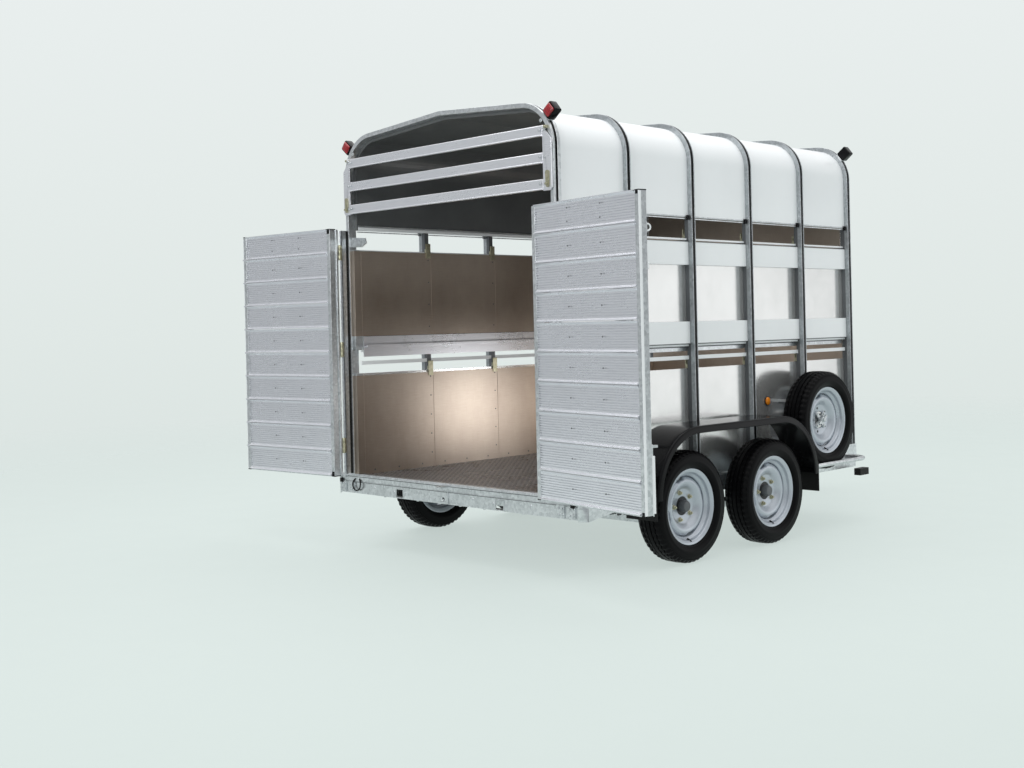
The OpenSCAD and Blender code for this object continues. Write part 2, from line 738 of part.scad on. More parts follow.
// Outline of a gate's end plate, with its outer corners cut off
gate_plate = [
  [gate_side_x, gate_bottom], [gate_outer_x - 14, gate_bottom], [gate_outer_x, gate_bottom + 18],
  [gate_outer_x, gate_pin_z - 72], [gate_side_x + 17, gate_pin_z - 14], [gate_side_x + 17, gate_pin_z],
  [gate_side_x, gate_pin_z]];

module gate_frame() color("lightgray") {
  both_sides() difference() {
    union() {
      extrude_y(gate_face - gate_t, gate_face) polygon(gate_plate);
      translate([0, gate_pin_y, gate_pin_z]) cyl_x(knuckle_r - 1, gate_side_x, gate_side_x + 17);
    }
    translate([0, gate_pin_y, gate_pin_z]) cyl_x(pin_bore_r, gate_side_x - through, gate_side_x + 18);
    translate([latch_pin_x, 0, latch_pin_z]) cyl_y(pin_bore_r, gate_face - gate_t - through,
      gate_face + through);
  }
  for (z = [gate_bottom + 5, 2304, gate_top - slat_h])
    extrude_x(-gate_side_x + tiny, gate_side_x - tiny) polygon([
      [gate_face, z], [gate_face - slat_t, z], [gate_face - slat_t, z + 6],
      [gate_face - slat_t + 4, z + 8],
      [gate_face - slat_t + 4, z + slat_h - 4], [gate_face - slat_t + 6, z + slat_h],
      [gate_face, z + slat_h]]);
}

// Turn-catch on the gate's right end plate
module gate_latch() color("darkkhaki") translate([latch_pin_x, 0, latch_pin_z]) {
  cyl_y(pin_r, gate_face - gate_t - 7, gate_face - 1);
  extrude_y(gate_face - gate_t - 7, gate_face - gate_t - 1) hull() {
    circle(r = 14, $fn = 32);
    translate([0, -70]) circle(r = 11, $fn = 32);
  }
  translate([0, 0, -62]) cyl_y(6, gate_face - gate_t - 22, gate_face - gate_t - 6);
}

// ---- Coupling ----

module draw_tube() color("silver") translate([0, 0, draw_z]) cyl_y(draw_r, nose_rear - 140, hitch_y - 60);

module coupling_head() color("gray") difference() {
  union() {
    translate([0, hitch_y, hitch_z]) cyl_z(39, -24, 16);
    translate([0, hitch_y, hitch_z + 16]) cyl_z(30, 0, 20);
    translate([0, 0, draw_z]) cyl_y(34, hitch_y - 90, hitch_y - 28);
    box([-26, hitch_y - 60, hitch_z - 14], [26, hitch_y, hitch_z + 36]);
    box([-8, handle_pin_y - 14, hitch_z + 34], [8, handle_pin_y + 14, handle_pin_z + 12]);
    for (y = [hitch_y - 80, hitch_y - 46]) translate([0, y, draw_z]) cyl_x(9, -40, 40);
  }
  translate([0, hitch_y, hitch_z]) {
    cyl_z(socket_r, -24 - through, 2);
    sphere(r = socket_r, $fn = 96);
  }
  translate([0, 0, draw_z]) cyl_y(draw_r + 0.05, hitch_y - 91, hitch_y - 59.9);
  translate([0, handle_pin_y, handle_pin_z]) cyl_x(small_bore_r, -9, 9);
}

module coupling_handle() color("#1c1c1c") {
  translate([0, handle_pin_y, handle_pin_z]) {
    cyl_x(small_pin_r, -16, 16);
    both_sides() box([9, -130, -7], [15, 11, 9]);
    box([-15, -150, -7], [15, -130, 16]);
  }
}

module handbrake_lever() color("#1c1c1c") translate([0, lever_pin_y, lever_pin_z]) {
  cyl_x(bolt_r, 14, 48);
  rotate([5, 0, 0]) {
    box([36, -14, -18], [44, 14, 400]);
    translate([40, 0, 0]) cyl_z(15, 395, 520);
  }
}

// ---- Jockey wheel ----

module jockey_mast() color("silver") translate([jockey_x, jockey_y, 0]) difference() {
  cyl_z(mast_r, mast_bottom, mast_top);
  cyl_z(leg_bore_r, mast_bottom - through, mast_top - 10);
  cyl_z(screw_bore_r, mast_top - 11, mast_top + through);
}

module jockey_leg() color("silver") translate([jockey_x, jockey_y, 0]) {
  difference() {
    cyl_z(leg_r, leg_bottom, leg_top);
    cyl_z(leg_r - 5, leg_bottom + 10, leg_top + through);
  }
  box([-36, -25, leg_bottom - 8], [36, 25, leg_bottom]);
  both_sides() box([29, -25, jockey_wheel_r - 22], [35, 25, leg_bottom - 8]);
  translate([0, 0, jockey_wheel_r]) cyl_x(screw_r, -38, 38);
}

module jockey_wheel() color("#1c1c1c") translate([jockey_x, jockey_y, jockey_wheel_r]) turned_x()
  polygon([[screw_bore_r, -27], [24, -27], [24, -14], [70, -14], [74, -25], [92, -25],
      [jockey_wheel_r, -17],
           [jockey_wheel_r, 17], [92, 25], [74, 25], [70, 14], [24, 14], [24, 27], [screw_bore_r, 27]]);

module jockey_crank() color("gainsboro") translate([jockey_x, jockey_y, 0]) {
  cyl_z(screw_r, 440, mast_top + 40);
  cyl_z(18, mast_top + tiny, mast_top + 12);
  box([-9, -9, mast_top + 34], [9, 120, mast_top + 42]);
  translate([0, 110, 0]) cyl_z(11, mast_top + 41, mast_top + 120);
}

// ---- Placing ----

module place() {
  translate([0, -hitch_y, -hitch_z]) children();
}

place() chassis_rails();
place() cross_members();
place() drawbar_rails();
place() drawbar_nose();
place() brake_rod();
place() rear_sill();
place() sill_plates();
place() floor_deck();
place() body_posts();
place() roof_bows();
place() roof_skin();
place() roof_lining();
place() side_boards();
place() side_panels();
place() vent_rails();
place() inner_linings();
place() deck_ledges();
place() lining_brackets();
place() front_wall();
place() spare_tray();
place() buffer_blocks();
place() mudguards();
place() mud_flaps();
place() axle_beams();
place() leaf_springs();
place() spring_hangers();
place() spare_bracket();
place() spare_tyre();
place() spare_rim();
place() lamp_bodies();
place() lamp_lenses();
place() side_marker_lamps();
place() hinge_pins();
place() jockey_mast();
place() open_door(-1, left_open) door_frame();  // left_door_frame
place() open_door(-1, left_open) door_planks();  // left_door_planks
place() open_door(-1, left_open) door_hinges();  // left_door_hinges
place() open_door(-1, left_open) door_bolt();  // left_door_bolt
place() open_door(1, right_open) door_frame();  // right_door_frame
place() open_door(1, right_open) door_planks();  // right_door_planks
place() open_door(1, right_open) door_hinges();  // right_door_hinges
place() open_door(1, right_open) door_bolt();  // right_door_bolt
place() gate_frame();
place() mirror([1, 0, 0]) gate_latch();  // gate_latch_left
place() gate_latch();  // gate_latch_right
place() at_wheel(-1, rear_axle_y) tyre();  // tyre_rear_left
place() at_wheel(1, rear_axle_y) tyre();  // tyre_rear_right
place() at_wheel(-1, front_axle_y) tyre();  // tyre_front_left
place() at_wheel(1, front_axle_y) tyre();  // tyre_front_right
place() at_wheel(-1, rear_axle_y) wheel_rim();  // rim_rear_left
place() at_wheel(1, rear_axle_y) wheel_rim();  // rim_rear_right
place() at_wheel(-1, front_axle_y) wheel_rim();  // rim_front_left
place() at_wheel(1, front_axle_y) wheel_rim();  // rim_front_right
place() draw_tube();
place() coupling_head();
place() coupling_handle();
place() handbrake_lever();
place() jockey_leg();
place() jockey_wheel();
place() jockey_crank();
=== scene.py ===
"""Looks of the livestock trailer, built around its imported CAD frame.

Shapes are written in road millimetres: X to the right, Y forwards from the rear hoop, Z up from
the ground. The matrix ROAD brings them into the frame, in metres. Door parts are drawn closed.
"""

import json
import math

import bmesh
import bpy
from mathutils import Matrix, Vector


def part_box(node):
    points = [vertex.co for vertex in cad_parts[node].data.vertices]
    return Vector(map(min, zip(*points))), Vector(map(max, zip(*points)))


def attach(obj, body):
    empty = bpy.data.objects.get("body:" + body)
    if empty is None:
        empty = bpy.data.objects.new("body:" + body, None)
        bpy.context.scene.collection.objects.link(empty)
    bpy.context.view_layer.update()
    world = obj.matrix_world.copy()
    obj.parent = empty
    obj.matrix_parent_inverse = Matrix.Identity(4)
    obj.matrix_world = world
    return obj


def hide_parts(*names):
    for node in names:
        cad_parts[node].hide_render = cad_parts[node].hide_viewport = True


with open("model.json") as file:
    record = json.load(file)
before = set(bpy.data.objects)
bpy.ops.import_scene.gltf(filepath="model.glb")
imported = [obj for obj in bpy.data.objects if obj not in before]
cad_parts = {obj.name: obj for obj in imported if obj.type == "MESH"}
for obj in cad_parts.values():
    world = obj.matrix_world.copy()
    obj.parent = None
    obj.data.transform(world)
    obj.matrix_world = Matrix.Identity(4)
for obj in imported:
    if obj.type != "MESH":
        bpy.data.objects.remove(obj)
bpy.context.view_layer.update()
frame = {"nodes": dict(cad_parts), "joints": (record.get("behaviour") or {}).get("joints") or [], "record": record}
NODES = frame["nodes"]
JOINTS = {j["name"]: j for j in frame["joints"]}
SLOT_OF = {part["node"]: part["material_slot"] for part in frame["record"]["subparts"]}

MM = 0.001
REAR_HALF = 30  # half the width of the rear hoop, whose middle is at Y = 0
ORIGIN = Vector((0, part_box("roof_bows")[0].y + REAR_HALF * MM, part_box("tyre_rear_right")[0].z))
ROAD = Matrix.Translation(ORIGIN) @ Matrix.Scale(MM, 4)


def span(node, matrix=ROAD):
    """Lowest and highest corner of a CAD node in road millimetres, or in a closed door's."""
    back = matrix.inverted()
    points = [back @ v.co for v in NODES[node].data.vertices]
    return tuple(Vector([pick(p[i] for p in points) for i in range(3)]) for pick in (min, max))


def closed_turn(joint):
    """Matrix that takes a door drawn closed, in road millimetres, to its open rest position."""
    j = JOINTS[joint]
    pin = Vector(j["pos_m"])
    angle = -math.radians(j["range_deg"][0])
    turn = Matrix.Rotation(angle, 4, Vector(j["axis"]))
    return Matrix.Translation(pin) @ turn @ Matrix.Translation(-pin) @ ROAD


# ---- Materials ----

MIX_SHARE, MIX_COLOURS, MIX_RESULT = 0, (6, 7), 2  # sockets of a Mix node that mixes colours


class Graph:
    """Builds one material's nodes. Patterns are placed in object coordinates, in metres."""

    def __init__(self, name):
        self.material = bpy.data.materials.new(name)
        self.material.use_nodes = True
        self.tree = self.material.node_tree
        self.shader = self.tree.nodes["Principled BSDF"]
        self.place = self.node("ShaderNodeTexCoord").outputs["Object"]

    def node(self, kind, **inputs):
        made = self.tree.nodes.new(kind)
        for key, value in inputs.items():
            self.put(made.inputs[key.replace("_", " ")], value)
        return made

    def put(self, socket, value):
        """Links a node's output to a socket, or sets the socket's own value."""
        if isinstance(value, bpy.types.NodeSocket):
            self.tree.links.new(value, socket)
        elif isinstance(value, tuple) and len(value) == 3 and socket.type == "RGBA":
            socket.default_value = (*value, 1.0)
        else:
            socket.default_value = value

    def stretched(self, stretch):
        """Object coordinates, scaled along each axis."""
        return self.node("ShaderNodeMapping", Vector=self.place, Scale=stretch).outputs["Vector"]

    def noise(self, scale, stretch=(1, 1, 1), detail=5.0, roughness=0.6):
        where = self.stretched(stretch)
        look = {"Scale": scale, "Detail": detail, "Roughness": roughness}
        return self.node("ShaderNodeTexNoise", Vector=where, **look).outputs["Fac"]

    def cells(self, scale, output="Color"):
        return self.node("ShaderNodeTexVoronoi", Vector=self.place, Scale=scale).outputs[output]

    def grey(self, colour):
        return self.node("ShaderNodeRGBToBW", Color=colour).outputs["Val"]

    def spread(self, value, low, high, start=0.0, end=1.0):
        """Maps start..end onto low..high."""
        limits = {"From_Min": start, "From_Max": end, "To_Min": low, "To_Max": high}
        return self.node("ShaderNodeMapRange", Value=value, **limits).outputs["Result"]

    def ramp(self, value, start, first, end, last):
        """Colour that runs from first, at start, to last, at end."""
        made = self.node("ShaderNodeValToRGB", Fac=value)
        for mark, at, colour in zip(made.color_ramp.elements, (start, end), (first, last)):
            mark.position = at
            mark.color = (*colour, 1.0)
        return made.outputs["Color"]

    def mix(self, share, a, b):
        """Colour a with this share of colour b."""
        made = self.tree.nodes.new("ShaderNodeMix")
        made.data_type = "RGBA"
        for index, value in zip((MIX_SHARE, *MIX_COLOURS), (share, a, b)):
            self.put(made.inputs[index], value)
        return made.outputs[MIX_RESULT]

    def add(self, a, b):
        made = self.tree.nodes.new("ShaderNodeMath")
        for socket, value in zip(made.inputs, (a, b)):
            self.put(socket, value)
        return made.outputs[0]

    def done(self, colour, rough, height, strength, depth, **plain):
        """Joins up the shader: its colour, roughness and bump, and plain values on its own sockets."""
        bump = self.node("ShaderNodeBump", Height=height, Strength=strength, Distance=depth)
        links = {"Base Color": colour, "Roughness": rough, "Normal": bump.outputs["Normal"]}
        for key, value in {**links, **plain}.items():
            self.put(self.shader.inputs[key.replace("_", " ")], value)
        return self.material


def shade(colour, share):
    """A darker copy of a colour."""
    return tuple(c * share for c in colour)


EVEN = (1, 1, 1)
FINE_DEPTH = 0.0004  # depth of a fine bump, in metres


def metal(name, dark, pale, rough, grain=EVEN, spangle=0.0, metallic=0.9, strength=0.08, stain=0.35):
    """Bare metal: streaks or spangles, faint stains, and a roughness that follows them."""
    g = Graph(name)
    streaks = g.noise(55, grain, 6.0, 0.7)
    stains = g.noise(3.2, EVEN, 4.0)
    colour = g.ramp(streaks, 0.3, dark, 0.7, pale)
    height = streaks
    if spangle:
        flakes = g.grey(g.cells(62))
        colour = g.mix(spangle, colour, g.ramp(flakes, 0.15, shade(dark, 0.75), 0.9, pale))
        height = g.add(flakes, streaks)
    colour = g.mix(g.spread(stains, 0.0, stain, 0.45, 0.75), colour, shade(dark, 0.72))
    roughness = g.add(g.spread(streaks, -0.04, 0.04), g.spread(stains, rough - 0.05, rough + 0.08))
    return g.done(colour, roughness, height, strength, FINE_DEPTH, Metallic=metallic)


def paint(
    name, dark, pale, rough, grain=260, strength=0.12, depth=FINE_DEPTH,
    metallic=0.0, coat=0.0, flakes=0.0, shine=0.5,
):
    """Painted or moulded surface: cloudy colour, orange peel and a little road dust."""
    g = Graph(name)
    clouds = g.noise(2.1)
    colour = g.ramp(clouds, 0.3, dark, 0.7, pale)
    if flakes:
        glitter = g.ramp(g.grey(g.cells(900)), 0.3, shade(pale, 0.8), 0.95, (0.95, 0.96, 0.98))
        colour = g.mix(flakes, colour, glitter)
    specks = g.noise(38, EVEN, 8.0, 0.75)
    colour = g.mix(g.spread(specks, 0.0, 0.3, 0.62, 0.8), colour, shade(dark, 0.7))
    roughness = g.spread(g.noise(9, EVEN, 4.0), rough - 0.08, rough + 0.1)
    fine = g.noise(grain, EVEN, 3.0, 0.5)
    look = {"Metallic": metallic, "Coat_Weight": coat, "Coat_Roughness": 0.12}
    return g.done(colour, roughness, fine, strength, depth, Specular_IOR_Level=shine, **look)


def lens(name, deep, colour):
    """Moulded lamp glass with small facets behind a gloss."""
    g = Graph(name)
    facets = g.cells(230, "Distance")
    tint = g.ramp(facets, 0.0, colour, 0.7, deep)
    rough = g.spread(g.noise(40), 0.08, 0.2)
    return g.done(tint, rough, facets, 0.6, 0.0015, Coat_Weight=0.6, Coat_Roughness=0.05)


def lining_metal(name):
    """Brushed bronze-coloured sheet with soft streaks across and down its face."""
    g = Graph(name)
    across = g.noise(90, (0.15, 0.15, 6), 5.0, 0.7)
    down = g.noise(90, (5, 5, 0.12), 4.0)
    clouds = g.noise(1.6, (1, 1, 0.6), 4.0)
    colour = g.ramp(clouds, 0.3, (0.30, 0.245, 0.20), 0.7, (0.48, 0.41, 0.345))
    for share, streaks in ((0.16, across), (0.08, down)):
        tint = g.ramp(streaks, 0.3, (0.22, 0.17, 0.135), 0.75, (0.70, 0.61, 0.53))
        colour = g.mix(share, colour, tint)
    rough = g.add(g.spread(across, 0.24, 0.34), g.spread(clouds, -0.02, 0.06))
    return g.done(colour, rough, g.add(across, down), 0.05, 0.0003, Metallic=0.85)


# The look of each slot in the record, and two more for what a slot has no colour for; the darker copy of the
# galvanised steel for the hoops is painted shade.
PANEL_GRAIN = {"grain": 300, "strength": 0.18, "depth": 0.0005}
SKINS = {
    "galvanised": metal(
        "galvanised_steel", (0.54, 0.57, 0.585), (0.82, 0.845, 0.86), 0.3, spangle=0.45, strength=0.06),
    "shaded_galvanised": metal(
        "shaded_galvanised", (0.34, 0.365, 0.38), (0.56, 0.59, 0.61), 0.3, spangle=0.4, strength=0.06),
    "ribbed_aluminium": metal(
        "ribbed_aluminium", (0.80, 0.81, 0.85), (0.90, 0.905, 0.94), 0.27, (0.25, 0.25, 5),
        strength=0.015, stain=0.12),
    "white_sheet": paint(
        "white_sheet", (0.84, 0.865, 0.875), (0.88, 0.905, 0.915), 0.32, coat=0.25, **PANEL_GRAIN),
    "grey_panel": paint(
        "grey_panel", (0.70, 0.70, 0.69), (0.78, 0.78, 0.77), 0.17, metallic=0.78, **PANEL_GRAIN),
    "lining_sheet": lining_metal("lining_sheet"),
    "dark_lining": paint(
        "dark_lining", (0.085, 0.09, 0.092), (0.12, 0.126, 0.128), 0.36, 420, 0.3, 0.0006),
    # The tread plate's dark brown is the bronze linings' reflection in the aluminium floor, painted in.
    "tread_plate": metal(
        "tread_plate", (0.075, 0.05, 0.037), (0.15, 0.105, 0.08), 0.42, metallic=0.5, strength=0.03),
    "yellow_zinc": metal("yellow_zinc", (0.33, 0.32, 0.215), (0.66, 0.63, 0.46), 0.34, spangle=0.45),
    "black_plastic": paint(
        "black_plastic", (0.003, 0.003, 0.0035), (0.006, 0.006, 0.007), 0.14, 500, shine=0.12),
    "black_rubber": paint(
        "black_rubber", (0.011, 0.011, 0.011), (0.013, 0.013, 0.013), 0.45, 350, 0.35, 0.0006,
        shine=0.15),
    "tyre": paint(
        "tyre_rubber", (0.003, 0.003, 0.0035), (0.006, 0.006, 0.0065), 0.3, 420, 0.2, shine=0.06),
    "wheel_silver": paint(
        "wheel_silver", (0.40, 0.445, 0.50), (0.49, 0.53, 0.585), 0.3, 500,
        metallic=0.55, coat=0.3, flakes=0.25),
    "red_lens": lens("red_lens", (0.16, 0.0, 0.004), (0.50, 0.002, 0.008)),
    "clear_lens": lens("clear_lens", (0.58, 0.60, 0.62), (0.84, 0.86, 0.87)),
    "amber_lens": lens("amber_lens", (0.85, 0.22, 0.0), (1.0, 0.40, 0.02)),
    "spring_steel": paint(
        "spring_steel", (0.018, 0.018, 0.02), (0.035, 0.036, 0.04), 0.42, 200, 0.4, metallic=0.3),
    "cast_grey": paint(
        "cast_grey", (0.09, 0.095, 0.10), (0.15, 0.16, 0.17), 0.45, 160, 0.6, 0.001, metallic=0.4),
}


# ---- Building shapes ----

ACROSS = {"x": (1, 2, 0), "y": (0, 2, 1), "z": (0, 1, 2)}  # an outline's two axes, and the third


def rectangle(x0, y0, x1, y1, z):
    return [(x0, y0, z), (x1, y0, z), (x1, y1, z), (x0, y1, z)]


class Shape:
    """Points and faces gathered, in millimetres, before a piece's mesh is made."""

    def __init__(self):
        self.points = []
        self.faces = []

    def loft(self, rings, loop=False):
        """Joins rings of points into a skin, with end caps unless the last ring meets the first."""
        base, n, count = len(self.points), len(rings[0]), len(rings)
        for ring in rings:
            self.points += [Vector(p) for p in ring]
        for i in range(count if loop else count - 1):
            a, b = base + i * n, base + (i + 1) % count * n
            for k in range(n):
                m = (k + 1) % n
                self.faces.append((a + k, a + m, b + m, b + k))
        if not loop:
            self.faces.append(tuple(range(base, base + n)))
            self.faces.append(tuple(range(base + (count - 1) * n, base + count * n)))
        return self

    def box(self, low, high):
        (x0, y0, z0), (x1, y1, z1) = low, high
        return self.loft([rectangle(x0, y0, x1, y1, z) for z in (z0, z1)])

    def both(self, low, high):
        """The same box on the right-hand side and, mirrored, on the left."""
        self.box(low, high)
        return self.box((-high[0], low[1], low[2]), (-low[0], high[1], high[2]))

    def extrude(self, outline, axis, start, end):
        """Draws an outline out along an axis."""
        u, v, w = ACROSS[axis]
        rings = []
        for at in (start, end):
            rings.append([])
            for p in outline:
                q = [0, 0, 0]
                q[u], q[v], q[w] = p[0], p[1], at
                rings[-1].append(q)
        return self.loft(rings)

    def spin(self, profile, centre, axis, steps=32, closed=True, radius_of=None, turn=0.0):
        """Turns a profile of (radius, distance along the axis) about the axis.

        radius_of may change the radius of point i of ring k; turn rotates the whole shape.
        """
        centre, axis = Vector(centre), Vector(axis).normalized()
        side = Vector((0, 0, 1)) if abs(axis.z) < 0.9 else Vector((1, 0, 0))
        side = (side - axis * side.dot(axis)).normalized()
        other = axis.cross(side)
        rings = []
        for k, (r, along) in enumerate(profile):
            rings.append([])
            for i in range(steps):
                a = 2 * math.pi * i / steps
                reach = radius_of(k, r, i) if radius_of else r
                out = side * math.cos(a + turn) + other * math.sin(a + turn)
                rings[-1].append(centre + axis * along + out * reach)
        return self.loft(rings, loop=closed)

    def rod(self, start, end, r, steps=20):
        """A round rod with slightly chamfered ends."""
        start, end = Vector(start), Vector(end)
        length = (end - start).length
        edge = min(r, length) * 0.2
        profile = [(r - edge, 0), (r, edge), (r, length - edge), (r - edge, length)]
        return self.spin(profile, start, end - start, steps, closed=False)

    def rivet(self, at, normal, r=4.5):
        """A domed rivet head."""
        dome = [(r, -1), (r, 0.2 * r), (0.75 * r, 0.5 * r), (0.3 * r, 0.68 * r)]
        return self.spin(dome, at, normal, 10, closed=False)

    def bolt(self, at, normal, across=13, height=7):
        """A hexagon head on its washer."""
        r = across / math.sqrt(3)
        washer = [(r * 1.4, -0.5), (r * 1.4, 1.3), (r * 1.3, 1.8)]
        head = [(r, 1), (r, height * 0.8), (r * 0.84, height)]
        self.spin(washer, at, normal, 24, closed=False)
        return self.spin(head, at, normal, 6, closed=False, turn=0.3)

    def sweep(self, path, section, y):
        """Runs a section of (depth, distance along Y) along an arch of (x, z, nx, nz, stretch)."""
        rings = []
        for x, z, nx, nz, k in path:
            rings.append([(x - nx * d * k, y + dy, z - nz * d * k) for d, dy in section])
        return self.loft(rings)

    def tube(self, path, r, steps=14, closed=False):
        """A round bar along a line of points."""
        path = [Vector(p) for p in path]
        count, side, rings = len(path), None, []
        for i, p in enumerate(path):
            ahead = path[(i + 1) % count] if closed or i < count - 1 else p
            behind = path[i - 1] if closed or i else p
            along = (ahead - behind).normalized()
            side = along.orthogonal() if side is None else side - along * side.dot(along)
            side.normalize()
            other = along.cross(side)
            turns = [2 * math.pi * k / steps for k in range(steps)]
            rings.append([p + (side * math.cos(a) + other * math.sin(a)) * r for a in turns])
        return self.loft(rings, loop=closed)


SHARP = 32  # degrees; a sharper edge than this is bevelled, and isn't shaded smooth
CAD_SHARP = 34
WELD_GAP = 0.00002  # in metres


def piece(
    name, shape, slot, replaces=(), bevel=0.0, sharp=SHARP, matrix=ROAD, segments=2, skin=None,
    body="trailer",
):
    """Makes one piece from a shape. bevel is in millimetres, and skin is a look other than the slot's."""
    mesh = bpy.data.meshes.new(name)
    mesh.from_pydata([tuple(matrix @ p) for p in shape.points], [], shape.faces)
    bm = bmesh.new()
    bm.from_mesh(mesh)
    bmesh.ops.recalc_face_normals(bm, faces=bm.faces)
    bm.to_mesh(mesh)
    bm.free()
    mesh.polygons.foreach_set("use_smooth", [True] * len(mesh.polygons))
    mesh.set_sharp_from_angle(angle=math.radians(sharp))
    obj = bpy.data.objects.new(name, mesh)
    bpy.context.scene.collection.objects.link(obj)
    mesh.materials.append(SKINS[skin or slot])
    if bevel:
        round_edges(obj, bevel, sharp, segments)
    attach(obj, body)
    if replaces:
        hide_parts(*replaces)
    return obj


def round_edges(obj, width, sharp, segments):
    cut = obj.modifiers.new("edges", "BEVEL")
    cut.width = width * MM
    cut.segments = segments
    cut.limit_method = "ANGLE"
    cut.angle_limit = math.radians(sharp)
    cut.harden_normals = True


def soften(bevel, *names, skin=None):
    """Gives CAD nodes their material and rounds their edges."""
    for name in names:
        obj = NODES[name]
        obj.data.materials.clear()
        obj.data.materials.append(SKINS[skin or SLOT_OF[name]])
        weld = obj.modifiers.new("weld", "WELD")
        weld.merge_threshold = WELD_GAP
        round_edges(obj, bevel, CAD_SHARP, segments=2)


def mirrored(matrix, side):
    """The matrix itself for the right side, 1, and turned into its mirror image for the left, -1."""
    return matrix if side > 0 else matrix @ Matrix.Scale(-1, 4, Vector((1, 0, 0)))


# ---- Hoops, roof and walls ----

BAYS = 5
HOOP_W, HOOP_DEPTH, HOOP_MOUTH = 36, 30, 12  # the mouth is half the gap between a hoop's lips
REAR_DEPTH, REAR_MOUTH = 27, (-13, 7)
CHANNEL_WALL, CHANNEL_BACK = 3.5, 5
ROOF_R = 260  # outer radius of the bend from a wall to the roof
FALL = math.radians(4.1)  # slope of each half of the roof
ARC_STEPS = 18
HALF = span("roof_bows")[1].x  # half the body's width over its hoops
RIDGE = span("roof_bows")[1].z
EAVE = span("body_posts")[1].z
RAIL_TOP = span("floor_deck")[0].z
SILL_TOP = span("rear_sill")[1].z
PITCH = (span("roof_bows")[1].y - HOOP_W / 2) / BAYS
BODY_FRONT = PITCH * BAYS
CORNER_X = HALF - ROOF_R
CORNER = Vector((CORNER_X, 0, RIDGE - CORNER_X * math.tan(FALL) - ROOF_R / math.cos(FALL)))


def arch(low=None):
    """The body's outline from left to right: x, z, the normal's x and z, and stretch at the ridge.

    It starts at the eaves, or further down at the height low.
    """
    half = [] if low is None else [(HALF, low, 1, 0, 1)]
    half.append((HALF, EAVE, 1, 0, 1))
    for i in range(ARC_STEPS + 1):
        a = (math.pi / 2 - FALL) * i / ARC_STEPS
        nx, nz = math.cos(a), math.sin(a)
        half.append((CORNER.x + ROOF_R * nx, CORNER.z + ROOF_R * nz, nx, nz, 1))
    left = [(-x, z, -nx, nz, k) for x, z, nx, nz, k in half]
    return left + [(0, RIDGE, 0, 1, 1 / math.cos(FALL))] + half[::-1]


def channel(half, lip_rear, lip_front, depth):
    """Section of a hoop: a box open outwards between two lips."""
    t, back = CHANNEL_WALL, depth - CHANNEL_BACK
    return [
        (0, -half), (0, lip_rear), (t, lip_rear), (t, t - half), (back, t - half), (back, half - t),
        (t, half - t), (t, lip_front), (0, lip_front), (0, half), (depth, half), (depth, -half),
    ]


def shade_strip(rear, front, depth):
    """Section of a dark strip of painted shade in a hoop's channel, just under its lips."""
    return [(2.5, rear), (2.5, front), (depth, front), (depth, rear)]


# grooves gathers black strips of painted shade for the hoops' channels.
hoops, grooves, webs = Shape(), Shape(), Shape()
mouth = HOOP_MOUTH + 0.5
for i in range(1, BAYS + 1):
    y = i * PITCH
    hoops.sweep(arch(RAIL_TOP), channel(HOOP_W / 2, -HOOP_MOUTH, HOOP_MOUTH, HOOP_DEPTH), y)
    grooves.sweep(arch(RAIL_TOP + 2), shade_strip(-mouth, mouth, HOOP_DEPTH - 4), y)
    webs.both((HALF - 58, y - HOOP_W / 2, RAIL_TOP), (HALF - 29.5, y + HOOP_W / 2, EAVE))
# The hoops wear a darker copy of the galvanised steel: painted shade.
piece("roof_hoops", hoops, "galvanised", ["roof_bows"], bevel=1.5, skin="shaded_galvanised")
piece("hoop_painted_shade", grooves, "black_plastic")
piece("post_webs", webs, "cast_grey", bevel=1.5)

rear = Shape().sweep(arch(SILL_TOP), channel(REAR_HALF, *REAR_MOUTH, REAR_DEPTH), 0)
piece("rear_hoop", rear, "galvanised", ["body_posts"], bevel=2)
# A black strip of painted shade in the rear hoop's channel.
rear_shade_section = shade_strip(REAR_MOUTH[0] - 0.5, REAR_MOUTH[1] + 0.5, REAR_DEPTH - 4)
rear_channel_shade = Shape().sweep(arch(SILL_TOP + 2), rear_shade_section, 0)
piece("rear_hoop_painted_shade", rear_channel_shade, "black_plastic")
seal = Shape().sweep(arch(), [(26.5, 20), (26.5, 33), (47, 33), (47, 20)], 0)
piece("rear_hoop_seal", seal, "dark_lining", bevel=1)

# Door jambs between the rear hoop's posts and the linings, with bare rails where the vents are
SHEET_FACE = 867  # the inner faces of the linings
LOWER_TOP, LEDGE_LOW, LEDGE_TOP, UPPER_TOP = 1108, 1276, 1366, 1920
JAMB_REAR, JAMB_FRONT, JAMB_OUT = -24, REAR_HALF + 2, HALF - REAR_DEPTH + 1
jambs, rails = Shape(), Shape()
for z0, z1 in ((SILL_TOP, LOWER_TOP), (LEDGE_TOP, UPPER_TOP)):
    jambs.both((SHEET_FACE, JAMB_REAR, z0), (JAMB_OUT, JAMB_FRONT, z1))
for z0, z1 in ((LOWER_TOP, LOWER_TOP + 15), (LEDGE_LOW, LEDGE_TOP), (UPPER_TOP, UPPER_TOP + 7)):
    rails.both((SHEET_FACE + 4, JAMB_REAR + 2, z0), (JAMB_OUT, JAMB_FRONT, z1))
piece("door_jambs", jambs, "lining_sheet", bevel=1.5)
piece("jamb_rails", rails, "galvanised", bevel=1)

